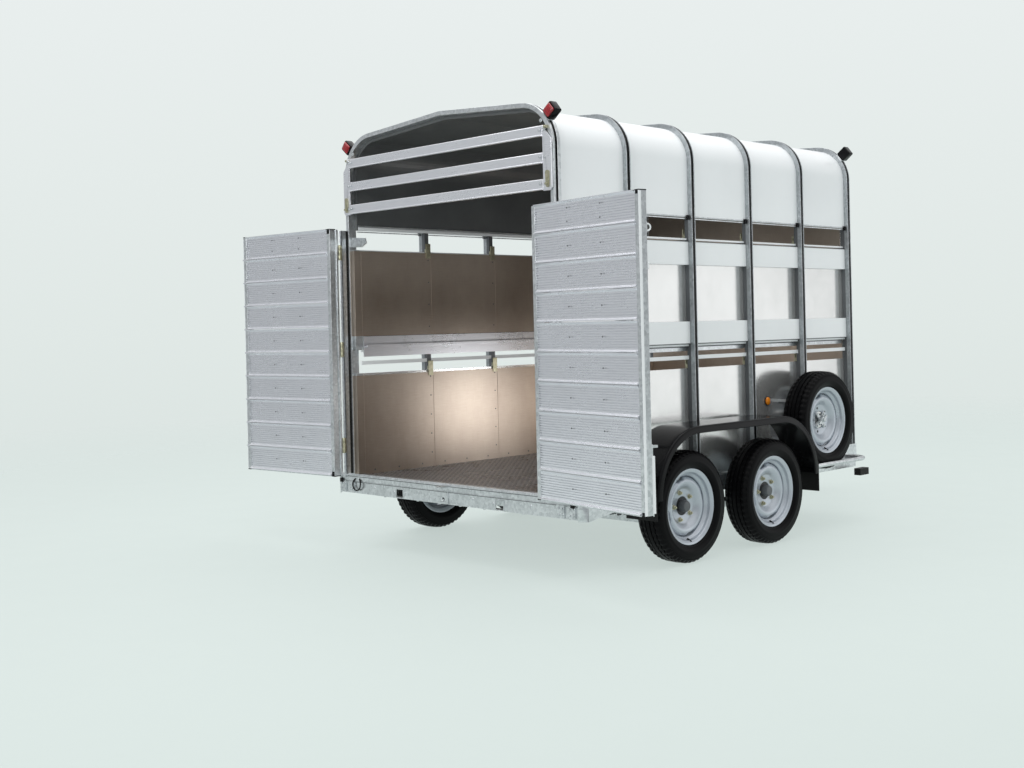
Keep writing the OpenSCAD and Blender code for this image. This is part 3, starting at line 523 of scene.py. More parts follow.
# Hinge strips on the rear hoop's posts, the rod through the hinges, and a seal beside them
HINGE_ROD_TOP = 2050
pin = ROAD.inverted() @ Vector(JOINTS["right_door_swing"]["pos_m"])
strip_low = (pin.x + 13, pin.y + 28, SILL_TOP + 4)
strips = Shape().both(strip_low, (pin.x + 21, -REAR_HALF + 1, EAVE - 2))
strips.both(strip_low, (pin.x + 37, pin.y + 32, EAVE - 2))
piece("hinge_strips", strips, "galvanised", bevel=1.2)
rods = Shape()
for side in (-1, 1):
    rods.rod((side * pin.x, pin.y, SILL_TOP + 8), (side * pin.x, pin.y, HINGE_ROD_TOP), 3.8)
piece("hinge_rods", rods, "galvanised")
seals = Shape().both((pin.x + 11.5, -47, SILL_TOP + 6), (pin.x + 13.5, -REAR_HALF - 0.5, EAVE - 4))
piece("hinge_strip_seals", seals, "black_rubber", bevel=0.6)

# Roof sheet, the trim lines and clips along its eaves, and the dark lining under it
ROOF_DEPTH, ROOF_THICK = 30, 4  # how far the sheet lies inside the outline
LINING_DEPTH = 44
wall_rear, roof_front = span("roof_skin")[0].y, span("roof_skin")[1].y
lining_front = span("roof_lining")[1].y
under = ROOF_DEPTH + ROOF_THICK
long = roof_front - wall_rear
sheet = Shape().sweep(arch(), [(ROOF_DEPTH, 0), (ROOF_DEPTH, long), (under, long), (under, 0)], wall_rear)
piece("roof_sheet", sheet, "white_sheet", ["roof_skin"], bevel=0.8)
trims, clips = Shape(), Shape()
for i in range(BAYS):
    bay_rear = max(wall_rear, i * PITCH + HOOP_W / 2 + 0.5)
    bay_front = (i + 1) * PITCH - HOOP_W / 2 - 0.5
    trims.both((HALF - 31, bay_rear, EAVE + 3), (HALF - 25, bay_front, EAVE + 9))
    trims.both((HALF - 31, bay_rear, EAVE - 12), (HALF - 26, bay_front, EAVE - 5))
    clips.both((HALF - 30, bay_front - 22, EAVE - 16), (HALF - 14, bay_front - 4, EAVE + 14))
piece("eave_trims", trims, "galvanised", bevel=1.5)
piece("eave_clips", clips, "black_plastic", bevel=2)
soften(1, "roof_lining")
edge = Shape().both((HALF - 52, wall_rear, EAVE + 27), (HALF - 44, lining_front, EAVE + 33))
piece("roof_lining_edges", edge, "galvanised", bevel=1.5)

soften(2.5, "side_boards")
soften(1, "side_panels", "inner_linings", "deck_ledges")
soften(1, "vent_rails", skin="white_sheet")
soften(1.5, "lining_brackets", "front_wall")
inside_line = [(x - nx * LINING_DEPTH, z - nz * LINING_DEPTH) for x, z, nx, nz, k in arch()]
gable = Shape().extrude(inside_line, "y", lining_front + 2, lining_front + 5)
piece("front_gable_lining", gable, "lining_sheet", bevel=0.8)

# Joint strips where boards and panels meet the rails
joints = Shape()
for z in (span("side_boards")[0].z, span("side_boards")[1].z):
    joints.both((HALF - 31, wall_rear, z - 1.5), (HALF - 28.5, BODY_FRONT - 19, z + 1.5))
piece("board_joints", joints, "cast_grey")

# Rivets in the linings, behind each hoop and along the floor
HOOP_RIVETS = (*range(560, 1100, 130), *range(1420, 1900, 150))
FLOOR_RIVETS, FLOOR_RIVET_PITCH = 14, 205
rows = Shape()
for side in (-1, 1):
    for i in range(1, BAYS):
        for z in HOOP_RIVETS:
            rows.rivet((side * SHEET_FACE, i * PITCH, z), (-side, 0, 0), 5)
    for k in range(FLOOR_RIVETS):
        rows.rivet((side * SHEET_FACE, 110 + k * FLOOR_RIVET_PITCH, 488), (-side, 0, 0), 6)
piece("lining_rivets", rows, "cast_grey")

# Lines along the deck ledges: how far each stands proud of them, its heights, slot and bevel
LEDGE_FACE = 873
LEDGE_LINES = (
    ("ledge_bands", 3, ((1342, 1362), (1232, 1250)), "galvanised", 1.2),
    # The dark grey bands, 1.5 mm proud, are painted shadow.
    ("ledge_painted_shadows", 1.5, ((1318, 1340), (1252, 1288)), "cast_grey", 0.5),
    ("ledge_seams", 4.5, ((1363, 1369), (1331, 1337), (1283, 1289)), "black_rubber", 0),
)
for name, proud, heights, slot, bevel in LEDGE_LINES:
    line = Shape()
    for z0, z1 in heights:
        line.both((LEDGE_FACE - proud, wall_rear + 10, z0), (LEDGE_FACE + 1, lining_front - 4, z1))
    piece(name, line, slot, bevel=bevel)
seams = Shape()
for i in range(1, BAYS):
    for z0, z1 in ((470, LOWER_TOP - 4), (LEDGE_TOP + 4, UPPER_TOP - 4)):
        seams.both((SHEET_FACE - 1.6, i * PITCH + 24, z0), (SHEET_FACE + 0.5, i * PITCH + 28, z1))
piece("lining_seams", seams, "lining_sheet", bevel=0.5)


# ---- Floor ----

RIDGE_PITCH, BUMP_PITCH = 40, 46
floor_low, floor_high = span("floor_deck")
tread_z = floor_high.z
plate = Shape().box(tuple(floor_low), (floor_high.x, floor_high.y, tread_z - 2))
piece("floor_sheet", plate, "tread_plate", ["floor_deck"], bevel=1)
gaps = int((floor_high.x - floor_low.x) // RIDGE_PITCH)
bumps_along = int((floor_high.y - floor_low.y - 60) // BUMP_PITCH)
ridges, bumps = Shape(), Shape()
for i in range(gaps + 1):
    x = -gaps * RIDGE_PITCH / 2 + i * RIDGE_PITCH
    foot_z = tread_z - 2.5
    ridge = [(x - 4, foot_z), (x - 2.5, tread_z), (x + 2.5, tread_z), (x + 4, foot_z)]
    ridges.extrude(ridge, "y", floor_low.y + 4, floor_high.y - 4)
    if i == gaps:
        continue
    for k in range(bumps_along):
        y = floor_low.y + 30 + k * BUMP_PITCH
        base = rectangle(x + 11, y, x + 29, y + 20, tread_z - 2.2)
        bumps.loft([base, rectangle(x + 14, y + 3, x + 26, y + 17, tread_z - 0.4)])
piece("floor_ridges", ridges, "ribbed_aluminium")
# The bumps wear the bronze lining's look: a painted reflection of the linings.
piece("floor_bumps", bumps, "lining_sheet")


# ---- Chassis, sill and the loop of lead ----

soften(2, "rear_sill", "chassis_rails", "cross_members", "drawbar_rails")
soften(1.2, "sill_plates", "brake_rod", "spare_tray", "spare_bracket")
soften(2, "drawbar_nose", "mud_flaps", "axle_beams", "spring_hangers", "leaf_springs")
sill_half = span("rear_sill")[1].x
sill_face = span("rear_sill")[0].y

buffer_corner = span("buffer_blocks")[1]
buffers = Shape()
buffers.both((buffer_corner.x - 50, 2945, 297), (buffer_corner.x, buffer_corner.y, 345))
buffers.both((sill_half - 42, -46, 411), (sill_half - 16, -37.5, 437))
piece("buffer_rubbers", buffers, "black_rubber", ["buffer_blocks"], bevel=1.2)

# The short loop of lead at the foot of the left post comes out of the sill, hangs in a loop
# against its face and goes back in near the place where it came out. It follows the CAD's ring,
# and bends inwards over the last LEAD_RAMP of either end.
LEAD_CENTRE, LEAD_RADIUS, LEAD_THICK, LEAD_LENGTH = (-870, -44, 405), 40, 9, 212
LEAD_START, LEAD_TURN, LEAD_STEPS = math.radians(120), math.radians(300), 36
LEAD_RAMP, LEAD_DEPTH = 50, 10
lead_line = []
for i in range(LEAD_STEPS + 1):
    turned = LEAD_TURN * i / LEAD_STEPS
    a = LEAD_START + turned
    from_end = LEAD_RADIUS * min(turned, LEAD_TURN - turned)
    inward = LEAD_DEPTH * max(0, 1 - from_end / LEAD_RAMP) ** 2
    out = Vector((LEAD_RADIUS * math.cos(a), inward, LEAD_RADIUS * math.sin(a)))
    lead_line.append(Vector(LEAD_CENTRE) + out)
lead = Shape().tube(lead_line, LEAD_THICK / 2)
sill_lead = piece("sill_lead", lead, "black_rubber", ["buffer_blocks"])

# Rims of the sill's two pockets, the plates at its ends, its seams and its screws
POCKET_X, POCKET_HALF, POCKET_RIM = 450, 38, 6
lip_z = SILL_TOP - 1
details, screws = Shape(), Shape()
details.tube([(-sill_half + 4, -24, lip_z), (sill_half - 4, -24, lip_z)], 4.5)
details.box((-sill_half + 2, sill_face - 2, 421), (sill_half - 2, sill_face + 4, 425))
details.box((3, sill_face - 1.5, 347), (9, -29, SILL_TOP - 4))
details.both((sill_half - 88, -36, 432), (sill_half - 4, sill_face, 462))
for side in (-1, 1):
    x = side * POCKET_X
    for rim_x in (x - POCKET_HALF, x + POCKET_HALF - POCKET_RIM):
        details.box((rim_x, -33, 348), (rim_x + POCKET_RIM, -29, 406))
    details.box((x - POCKET_HALF, -35, 404), (x + POCKET_HALF, -29, 409))
    details.box((x - POCKET_HALF, -33, 346), (x + POCKET_HALF, -29, 350))
    for dx in (-52, 52):
        screws.bolt((x + dx, -30, 384), (0, -1, 0), 10, 6)
    for dx in (-70, -24):
        screws.bolt((side * (sill_half + dx), -36, 447), (0, -1, 0), 13, 7)
for x in (-700, -260, 220, 700):
    screws.bolt((x, -30, 396), (0, -1, 0), 11, 6)
piece("sill_details", details, "galvanised", bevel=1)
seam = Shape()
for z0, z1 in ((451, 455), (417, 420.5)):
    seam.box((-sill_half + 3, sill_face - 0.8, z0), (sill_half - 3, sill_face + 3, z1))
piece("sill_seams", seam, "cast_grey")
piece("sill_screws", screws, "galvanised")


# ---- Lamps ----

LAMP_TILT = -math.radians(39)
LAMP_MIDDLE = ROOF_R + 44
LAMP_BEND = 9  # radius of the outline's rounded corners
LAMP_CORNERS = ((75, 27, 0), (13, 27, 90), (13, -27, 180), (75, -27, 270))
BODY_RINGS = ((0.9, -22), (1, -16), (1, 26), (0.93, 33))
LENS_RINGS = ((0.78, 32), (0.78, 36), (0.74, 41), (0.62, 44.5), (0.4, 46), (0.1, 46.3))
lamp_outline = []
for cx, cz, start in LAMP_CORNERS:
    for k in range(5):
        a = math.radians(start + 22.5 * k)
        lamp_outline.append((ROOF_R + (cx + LAMP_BEND * math.cos(a)), cz + LAMP_BEND * math.sin(a)))


def lamp_rings(rings, y0, facing):
    """The lamp's outline, drawn in to a share of its size at each distance from y0."""
    made = []
    for share, y in rings:
        drawn = [(LAMP_MIDDLE + (x - LAMP_MIDDLE) * share, z * share) for x, z in lamp_outline]
        made.append([(x, y0 + facing * y, z) for x, z in drawn])
    return made


def roof_lamp(word, place, end, y0, facing, tint):
    body = Shape().loft(lamp_rings(BODY_RINGS, y0, facing))
    glass = Shape().loft(lamp_rings(LENS_RINGS, y0, facing))
    bracket = Shape().box((ROOF_R - 6, y0 - 22, -30), (ROOF_R + 5, y0 + 18, 30))
    where = f"{end}_{word}"
    piece(f"roof_lamp_{where}", body, "black_plastic", ["lamp_bodies"], bevel=1, matrix=place)
    piece(f"roof_lens_{where}", glass, "red_lens", ["lamp_lenses"], matrix=place, skin=tint)
    piece(f"roof_lamp_bracket_{where}", bracket, "galvanised", bevel=1.5, matrix=place)


for side, word in ((-1, "left"), (1, "right")):
    tilted = Matrix.Translation(CORNER) @ Matrix.Rotation(LAMP_TILT, 4, "Y")
    place = mirrored(ROAD, side) @ tilted
    roof_lamp(word, place, "rear", 0, -1, "red_lens")
    roof_lamp(word, place, "front", BODY_FRONT, 1, "clear_lens")

lamp_back = span("sill_plates")[1].y - 5
lamp_face, lamp_sunk = lamp_back - 47, lamp_back - 33
guard_low, guard_high = span("mudguards")
guard_x = guard_high.x
lamp_x = (982, guard_x - 18)
cluster, glass, amber = Shape(), Shape(), Shape()
for side in (-1, 1):
    x0, x1 = sorted(side * x for x in lamp_x)
    cluster.box((x0, lamp_back - 34, 470), (x1, lamp_back, 568))
    glass.box((x0 + 6, lamp_face, 522), (x1 - 6, lamp_sunk, 562))
    amber.box((x0 + 6, lamp_face, 476), (x1 - 6, lamp_sunk, 518))
piece("wing_lamps", cluster, "black_plastic", bevel=5, segments=3)
piece("wing_lenses", glass, "red_lens", bevel=5, segments=3)
piece("wing_indicators", amber, "amber_lens", bevel=5, segments=3)

marker_low, marker_high = span("side_marker_lamps")
marker = (marker_low + marker_high) / 2
marker_r = (marker_high.y - marker_low.y) / 2
panel_face = span("side_panels")[1].x
ring_profile = [(-5, 0), (0, 0), (0, 4), (-1.5, 6), (-4, 6.5), (-5, 6)]
dome_profile = [(-5, 0), (-5, 7), (-7, 11), (-14, 14), (-26, 15.6)]
bezel, dome = Shape(), Shape()
for side in (-1, 1):
    at = (side * panel_face, marker.y, marker.z)
    bezel.spin([(marker_r + d, t) for d, t in ring_profile], at, (side, 0, 0), 40)
    rounded = [(marker_r + d, t) for d, t in dome_profile] + [(2, 16)]
    dome.spin(rounded, at, (side, 0, 0), 40, closed=False)
piece("side_marker_rings", bezel, "black_plastic", ["side_marker_lamps"])
piece("side_marker_lenses", dome, "amber_lens")


# ---- Mudguards ----

GUARD_R = 400  # bend at either end of a mudguard, seen from the side
GUARD_ROLL = 12  # radius of its rolled outer edge
GUARD_STEPS = 20
GUARD_SPRING = guard_high.z - GUARD_R


def guard_line():
    """Side view of a mudguard's outer face, from its rear foot over the top to its front foot."""
    line = []
    for cy, start in ((guard_low.y + GUARD_R, 180), (guard_high.y - GUARD_R, 90)):
        for k in range(GUARD_STEPS + 1):
            a = math.radians(start - 90 * k / GUARD_STEPS)
            ny, nz = math.cos(a), math.sin(a)
            line.append((cy + GUARD_R * ny, GUARD_SPRING + GUARD_R * nz, ny, nz))
    return line


guard_inner = HALF + 4
guard_rolled = guard_x - GUARD_ROLL
profile = [(guard_inner, 0)] + [(guard_x - d, 0) for d in (60, 56, 48, 44, 20)]
for a in (0.3, 0.7, 1.1, 1.5):
    profile.append((guard_rolled + GUARD_ROLL * math.sin(a), GUARD_ROLL - GUARD_ROLL * math.cos(a)))
hem = ((0, 40), (3, 43), (10, 44), (10, 40), (5, 38), (5, 14), (14, 6), (20, 5))
profile += [(guard_x - d, depth) for d, depth in hem] + [(guard_inner, 5)]
guards = Shape()
for side in (-1, 1):
    sections = []
    for y, z, ny, nz in guard_line():
        sections.append([(side * x, y - ny * d, z - nz * d) for x, d in profile])
    guards.loft(sections)
    for y in (guard_low.y + 5, guard_high.y - 17):
        x0, x1 = sorted((side * HALF, side * guard_rolled))
        guards.box((x0, y, 402), (x1, y + 12, 430))
piece("wheel_arches", guards, "black_plastic", ["mudguards"], bevel=1, sharp=40)


# ---- Wheels ----

AXLE = ((0, 0, 0), (1, 0, 0))  # centre and axis of a part drawn in its wheel's own place
tyre_low, tyre_high = span("tyre_rear_right")
TYRE_HALF = (tyre_high.x - tyre_low.x) / 2
LUGS = 54
TYRE_STEPS = LUGS * 4
# A tyre's outside, from the bead to the middle of the tread: radius, and distance in from its side
OUTSIDE = (
    (204, 34), (214, 30), (224.5, 26), (228, 14), (236, 8), (246, 3.5), (256, 1.4), (262, 0), (265, 0),
    (268, 1.2), (284, 1.0), (296, 3), (304, 6.5), (305.5, 4.5), (309, 5.5), (314, 11), (320, 17),
    (325, 23), (327.5, 31), (328.2, 40), (321, 41), (321, 46.5), (328.8, 47.5), (329.4, 68),
    (321.5, 69), (321.5, 75), (329.8, 76),
)
INSIDE = ((204, 44), (222, 37), (240, 20), (290, 15), (312, 50))
outer = [(r, TYRE_HALF - d) for r, d in OUTSIDE]
inner = [(r, TYRE_HALF - d) for r, d in INSIDE]
tread_profile = outer + [(r, -t) for r, t in outer[::-1]] + [(r, -t) for r, t in inner] + inner[::-1]


def tread(k, r, i):
    """Cuts the shoulders and the ribs of the tread into lugs."""
    across = abs(tread_profile[k][1])
    if r > 313 and 38 < across < TYRE_HALF - 8:
        return r - (6 if i % 4 < 2 else 0)
    if r > 325 and 12 < across < 42:
        return r - (4 if (i + 2) % 4 < 1 else 0)
    return r


def smooth(t):
    t = min(max(t, 0), 1)
    return t * t * (3 - 2 * t)


RIM = 67  # half the rim's width
barrel = [
    (223, RIM - 1), (221.5, RIM), (219, RIM - 0.5), (211, RIM - 3), (204, RIM - 7), (199.5, RIM - 10),
    (197.5, RIM - 14), (197, 40), (193, 35), (181, 27), (178, 23), (178, -11), (181, -15), (193, -23),
    (197, -28), (198, -RIM + 10), (203, -RIM + 8), (219, -RIM), (223, -RIM), (223, -RIM + 4),
    (203.5, -RIM + 12), (201.5, -24), (182, -11), (182, 23), (201.5, 36), (203.5, RIM - 12),
    (220, RIM - 5), (222.5, RIM - 4),
]
disc_front = [
    (56, 1.2), (58, 2), (96, 2), (101, 3.4), (106, 8), (113, 17), (121, 26), (131, 32.5), (143, 36.5),
    (152, 36), (161, 31), (169, 23), (175, 13), (177.8, 6),
]
disc = disc_front + [(r - 2, t - 5.5) for r, t in disc_front[::-1]]
SLOTS, SLOT_TURN, SLOT_FOOT = 4, 0.32, 157  # the slots start at this radius
DISC_STEPS = 144


def slotted(k, r, i):
    """Draws the disc's edge in from the rim at its slots."""
    if r < 150:
        return r
    turn = (i / DISC_STEPS * SLOTS + SLOT_TURN) % 1 - 0.5
    depth = smooth((0.15 - abs(turn)) / 0.05)
    return r - depth * max(r - SLOT_FOOT, 0) * 0.9


STUDS, STUD_R = 5, 165.1 / 2
STUD_HOLE = [(8.2, -4), (8.2, 2.2), (1, 2.2)]
NUT_SEAT = [(15, 1.5), (15, 3.4), (12, 5)]
NUT = [(12, 3), (12, 13), (10, 16)]
HUB_CAP = [(34.5, -3), (34.5, 30), (33.6, 32), (32.5, 32), (32, 34), (30, 39), (27, 40.5), (1, 41)]
DRUM_BACK = 14 - RIM
DRUM = [
    (36, -8), (36, -5), (100, -5), (103, -8), (106, -14), (112, -16), (112, DRUM_BACK), (100, DRUM_BACK),
    (100, -28), (38, -28), (38, -12),
]
HUB_RING = [(56, -5.5), (56, -0.5), (35, -0.5), (35, -5.5)]


def stud_places():
    for i in range(STUDS):
        a = math.radians(360 / STUDS * i + 18)
        yield -math.sin(a) * STUD_R, math.cos(a) * STUD_R


def tyre_and_rim(tyre_node, rim_node, body, side):
    """Makes what every wheel has, and returns the body and the matrix for the rest of its pieces."""
    low, high = span(tyre_node)
    fit = {"body": body, "matrix": mirrored(ROAD @ Matrix.Translation((low + high) / 2), side)}
    rubber = Shape().spin(tread_profile, *AXLE, TYRE_STEPS, radius_of=tread)
    piece(f"{tyre_node}_rubber", rubber, "tyre", [tyre_node], sharp=38, **fit)
    pressed = Shape().spin(barrel, *AXLE, 96).spin(disc, *AXLE, DISC_STEPS, radius_of=slotted)
    piece(f"{rim_node}_pressing", pressed, "wheel_silver", [rim_node], sharp=50, **fit)
    valve = Shape().rod((34, 0, -188), (58, 0, -200), 4.5).rod((50, 0, -196), (66, 0, -203), 3)
    piece(f"{rim_node}_valve", valve, "black_rubber", **fit)
    return fit


def road_wheel(word, side):
    rim_node = f"rim_{word}"
    fit = tyre_and_rim(f"tyre_{word}", rim_node, f"wheel_{word}", side)
    nuts = Shape()
    for y, z in stud_places():
        at, axis = (0, y, z), (1, 0, 0)
        nuts.spin(NUT_SEAT, at, axis, 28, closed=False)
        nuts.spin(NUT, at, axis, 6, closed=False, turn=0.2)
        nuts.rod((3, y, z), (24, y, z), 6)
    piece(f"{rim_node}_nuts", nuts, "yellow_zinc", sharp=28, **fit)
    hub = Shape().spin(HUB_CAP, *AXLE, 48, closed=False)
    piece(f"{rim_node}_cap", hub, "cast_grey", **fit)
    drum = Shape().spin(DRUM, *AXLE, 64).spin(HUB_RING, *AXLE, 64)
    piece(f"{rim_node}_drum", drum, "spring_steel", **fit)


def spare_wheel():
    """The spare wheel with black cups of painted shade in its empty stud holes, the nuts of its clamp, and a bent
    stay on the wall.
    """
    fit = tyre_and_rim("spare_tyre", "spare_rim", "trailer", 1)
    # The empty stud holes hold black cups: painted shade.
    holes = Shape()
    for y, z in stud_places():
        holes.spin(STUD_HOLE, (0, y, z), (1, 0, 0), 24, closed=False)
    piece("spare_stud_hole_shade", holes, "black_rubber", **fit)
    low, high = span("spare_tyre")
    centre = (low + high) / 2
    clamp = Shape().bolt((centre.x + 34, centre.y, centre.z), (1, 0, 0), 24, 14)
    for degrees in (45, 135, 225, 315):
        a = math.radians(degrees)
        y, z = centre.y + 56 * math.cos(a), centre.z + 56 * math.sin(a)
        clamp.bolt((centre.x + 12, y, z), (1, 0, 0), 13, 6)
    piece("spare_clamp_nuts", clamp, "galvanised")
    bends = ((-50, 868), (-10, 868), (2, 860), (4, 845), (2, 812))
    stay = Shape().tube([(HALF + dx, 2200, z) for dx, z in bends], 5)
    piece("spare_stay", stay, "galvanised")


for end in ("rear", "front"):
    for side, word in ((-1, "left"), (1, "right")):
        road_wheel(f"{end}_{word}", side)
spare_wheel()


# ---- Doors ----

PLANKS, RIBS, RIB_DEPTH = 10, 9, 9
FACE, OUTSIDE_FACE = -32, -82  # a door frame's inner and outer face, with the door closed
PLANK_FACE = -35  # the planks' ribbed inner face
HINGE_HEIGHTS = (660, 1280, 1908)
EYE_LINE = ((-4, 1860), (-22, 1862), (-31, 1868), (-35, 1878), (-31, 1888), (-22, 1894), (-4, 1896))


def plank_outline(z, tall, back, ridge):
    """Section of one plank: a raised ridge along either edge, and fine grooves between them."""
    step = (tall - 40) / RIBS
    outline = [(back, z + 1.2), (ridge, z + 1.2), (ridge, z + 5), (ridge - 3, z + 7.5), (PLANK_FACE, z + 14)]
    groove = PLANK_FACE - RIB_DEPTH
    for k in range(RIBS):
        at = z + 20 + (k + 0.5) * step
        outline += [(PLANK_FACE, at - 3), (groove, at - 2), (groove, at + 2), (PLANK_FACE, at + 3)]
    outline += [(PLANK_FACE, z + tall - 14), (ridge - 3, z + tall - 7.5), (ridge, z + tall - 5)]
    outline += [(ridge, z + tall - 1.2), (back, z + tall - 1.2)]
    for k in range(RIBS):
        at = z + tall - 20 - (k + 0.25) * step
        outline += [(back, at), (back + 1.6, at - 1), (back + 1.6, at - 4), (back, at - 5)]
    return outline


def door(word, side):
    place = mirrored(closed_turn(f"{word}_door_swing"), side)
    fit = {"body": f"{word}_door", "matrix": place}
    low, high = span(f"{word}_door_frame", place)
    plank_low, plank_high = span(f"{word}_door_planks", place)
    bottom, top, edge = low.z, high.z, high.x
    back, ridge = plank_low.y, plank_high.y
    foot = plank_low.z - 0.5
    tall = (top - foot) / PLANKS

    panelling = Shape()
    for i in range(PLANKS):
        outline = plank_outline(foot + i * tall, tall, back, ridge)
        panelling.extrude(outline, "x", plank_low.x - 0.5, plank_high.x + 0.5)
    planks = [f"{word}_door_planks"]
    piece(f"{word}_door_panelling", panelling, "ribbed_aluminium", planks, sharp=50, **fit)

    stiles, caps = Shape(), Shape()
    for x0, x1 in ((low.x, plank_low.x - 1), (plank_high.x + 1, edge)):
        stiles.box((x0, OUTSIDE_FACE, bottom + 3), (x1, FACE, top - 3))
        for z0, z1 in ((top - 5, top + 1), (bottom - 1, bottom + 5)):
            caps.box((x0 - 0.5, OUTSIDE_FACE - 0.5, z0), (x1 + 0.5, FACE + 0.5, z1))
    x0, x1, deep = (plank_high.x + 5, edge - 3, 28) if side < 0 else (low.x + 6, low.x + 24, 18)
    caps.box((x0, FACE - 1, top - deep - 4), (x1, FACE + 1.5, top - 4))
    caps.box((x0, FACE - 1, bottom + 4), (x1, FACE + 1.5, bottom + deep + 4))
    stiles.box((plank_low.x - 1, FACE - 14, bottom), (plank_high.x + 1, FACE + 1, foot))
    stiles.box((edge - 2, OUTSIDE_FACE - 15, bottom + 2), (edge + 8, OUTSIDE_FACE + 2, top - 2))
    stiles.box((plank_low.x - 1, FACE - 14, top - 5), (plank_high.x + 1, FACE + 1, top))
    lip = Shape().box((low.x - 0.6, FACE - 16, bottom + 6), (low.x + 1, FACE + 1, top - 6))
    piece(f"{word}_door_edge_strip", lip, "white_sheet", bevel=0.5, **fit)
    piece(f"{word}_door_stiles", stiles, "galvanised", [f"{word}_door_frame"], bevel=2.5, **fit)
    piece(f"{word}_door_caps", caps, "black_plastic", bevel=2, **fit)

    if side < 0:
        tips = Shape()
        for i in range(1, PLANKS):
            z = foot + i * tall
            tips.box((low.x + 1, FACE - 1, z - 5), (plank_low.x, ridge, z + 5))
        piece(f"{word}_door_ridge_ends", tips, "ribbed_aluminium", bevel=1.5, **fit)

    studs = Shape()
    width = plank_high.x - plank_low.x
    for i in range(PLANKS):
        for share in (0.33, 0.66):
            x = plank_low.x + width * share
            for k in (0.3, 0.75) if i == PLANKS - 1 else (0.5,):
                z = foot + (i + k) * tall
                studs.rivet((x, PLANK_FACE, z), (0, 1, 0))
                studs.rivet((x, back, z), (0, -1, 0))
    piece(f"{word}_door_rivets", studs, "cast_grey", **fit)

    # The bolt's cover, and two blocks further up the stile; the upper one carries a lashing eye
    fittings, out = Shape(), OUTSIDE_FACE
    fittings.box((low.x + 3, out - 22, bottom + 12), (low.x + 29, out + 1, bottom + 295))
    fittings.box((low.x + 3, out - 5, 1850), (low.x + 27, out + 1, 1905))
    fittings.box((low.x + 3, out - 11, 1674), (low.x + 25, out + 1, 1706))
    fittings.tube([(low.x + 14, out + dy, z) for dy, z in EYE_LINE], 4)
    piece(f"{word}_door_fittings", fittings, "white_sheet", bevel=2, **fit)

    soften(1, f"{word}_door_hinges", f"{word}_door_bolt")
    heads = Shape()
    for z in HINGE_HEIGHTS:
        for dz in (-34, 34):
            for x in (pin.x - 50, pin.x - 26):
                heads.bolt((x, OUTSIDE_FACE - 4, z + dz), (0, -1, 0), 10, 5)
    piece(f"{word}_door_hinge_screws", heads, "yellow_zinc", **fit)


door("left", -1)
door("right", 1)
soften(1, "hinge_pins")
catch_outline = [(908, 1946), (790, 1940), (742, 1964), (752, 1996), (908, 2010)]
catch = Shape().extrude(catch_outline, "y", -20, -14)
for x in (870, 790):
    catch.bolt((x, -20, 1974), (0, -1, 0), 9, 1.8)
left_side = mirrored(ROAD, -1)
piece("left_door_latch_plate", catch, "galvanised", bevel=1, matrix=left_side)


# ---- Top gate, hitch and jockey wheel ----

soften(1.5, "gate_frame")
soften(1.2, "gate_latch_left", "gate_latch_right")
SLAT_FEET = (2157, 2304, 2454)
slat_face = span("gate_frame")[0].y + 3
lips, screws = Shape(), Shape()
for z in SLAT_FEET:
    lips.tube([(-866, slat_face, z + 3), (866, slat_face, z + 3)], 3.4)
    for side in (-1, 1):
        for x, y in ((852, slat_face), (884, -45)):
            screws.bolt((side * x, y, z + 34), (0, -1, 0), 10, 5)
piece("gate_slat_lips", lips, "ribbed_aluminium", body="gate")
piece("gate_screws", screws, "galvanised", body="gate")
hoop_bolts = Shape()
for side in (-1, 1):
    at = (side * (CORNER.x + 170), -REAR_HALF, CORNER.z + 142)
    hoop_bolts.bolt(at, (0, -1, 0), 13, 7)
piece("rear_hoop_bolts", hoop_bolts, "galvanised")
soften(1.5, "draw_tube", "jockey_mast", "jockey_leg", "jockey_wheel", "jockey_crank")
soften(2.5, "coupling_head", "coupling_handle", "handbrake_lever")


# ---- Floor, light and camera, in metres ----

FLOOR_REACH, FADE_START, FADE_END = 40, 5.0, 13.0
FLOOR = (0.15, 0.165, 0.16)
FLOOR_GLOW = (0.50, 0.565, 0.545)
# Stops of each ramp, from low to high, and the heights of the view direction that they run between
STUDIO = ((0.0, (0.42, 0.44, 0.45)), (0.35, (0.50, 0.52, 0.53)), (0.75, (1.0, 1.0, 1.0)))
STUDIO_HEIGHTS = (-0.1, 1.0)
BACKDROP = ((0.0, (0.62, 0.70, 0.68)), (0.5, (0.75, 0.81, 0.79)), (1.0, (0.84, 0.88, 0.88)))
BACKDROP_HEIGHTS = (-0.35, 0.35)
# Name, place, the point it faces, size and power of each light
LIGHTS = (
    ("overhead", (0, -3.5, 5.5), (0, -3, 0.8), (6, 6), 170),
    ("right_box", (6.4, 4.3, 1.2), (0, 4.3, 1.2), (8, 3.2), 62),
    ("rear_key", (2.2, -10.5, 3.0), (-0.2, -3.5, 0.7), (3, 2.5), 170),
    ("inside", (0.8, -1.9, 0.34), (-0.87, -1.9, 0.34), (0.7, 0.6), 7.5),
)
IMAGE_WIDTH, IMAGE_HEIGHT = 1024, 768
SENSOR = 36
FOCAL_PIXELS, HORIZON_PIXEL = 1278.165, 327.31
EYE = (5.753, -5.141, 1.411)
YAW, PITCH_DOWN, ROLL = 45.326, 0.07, -1.298


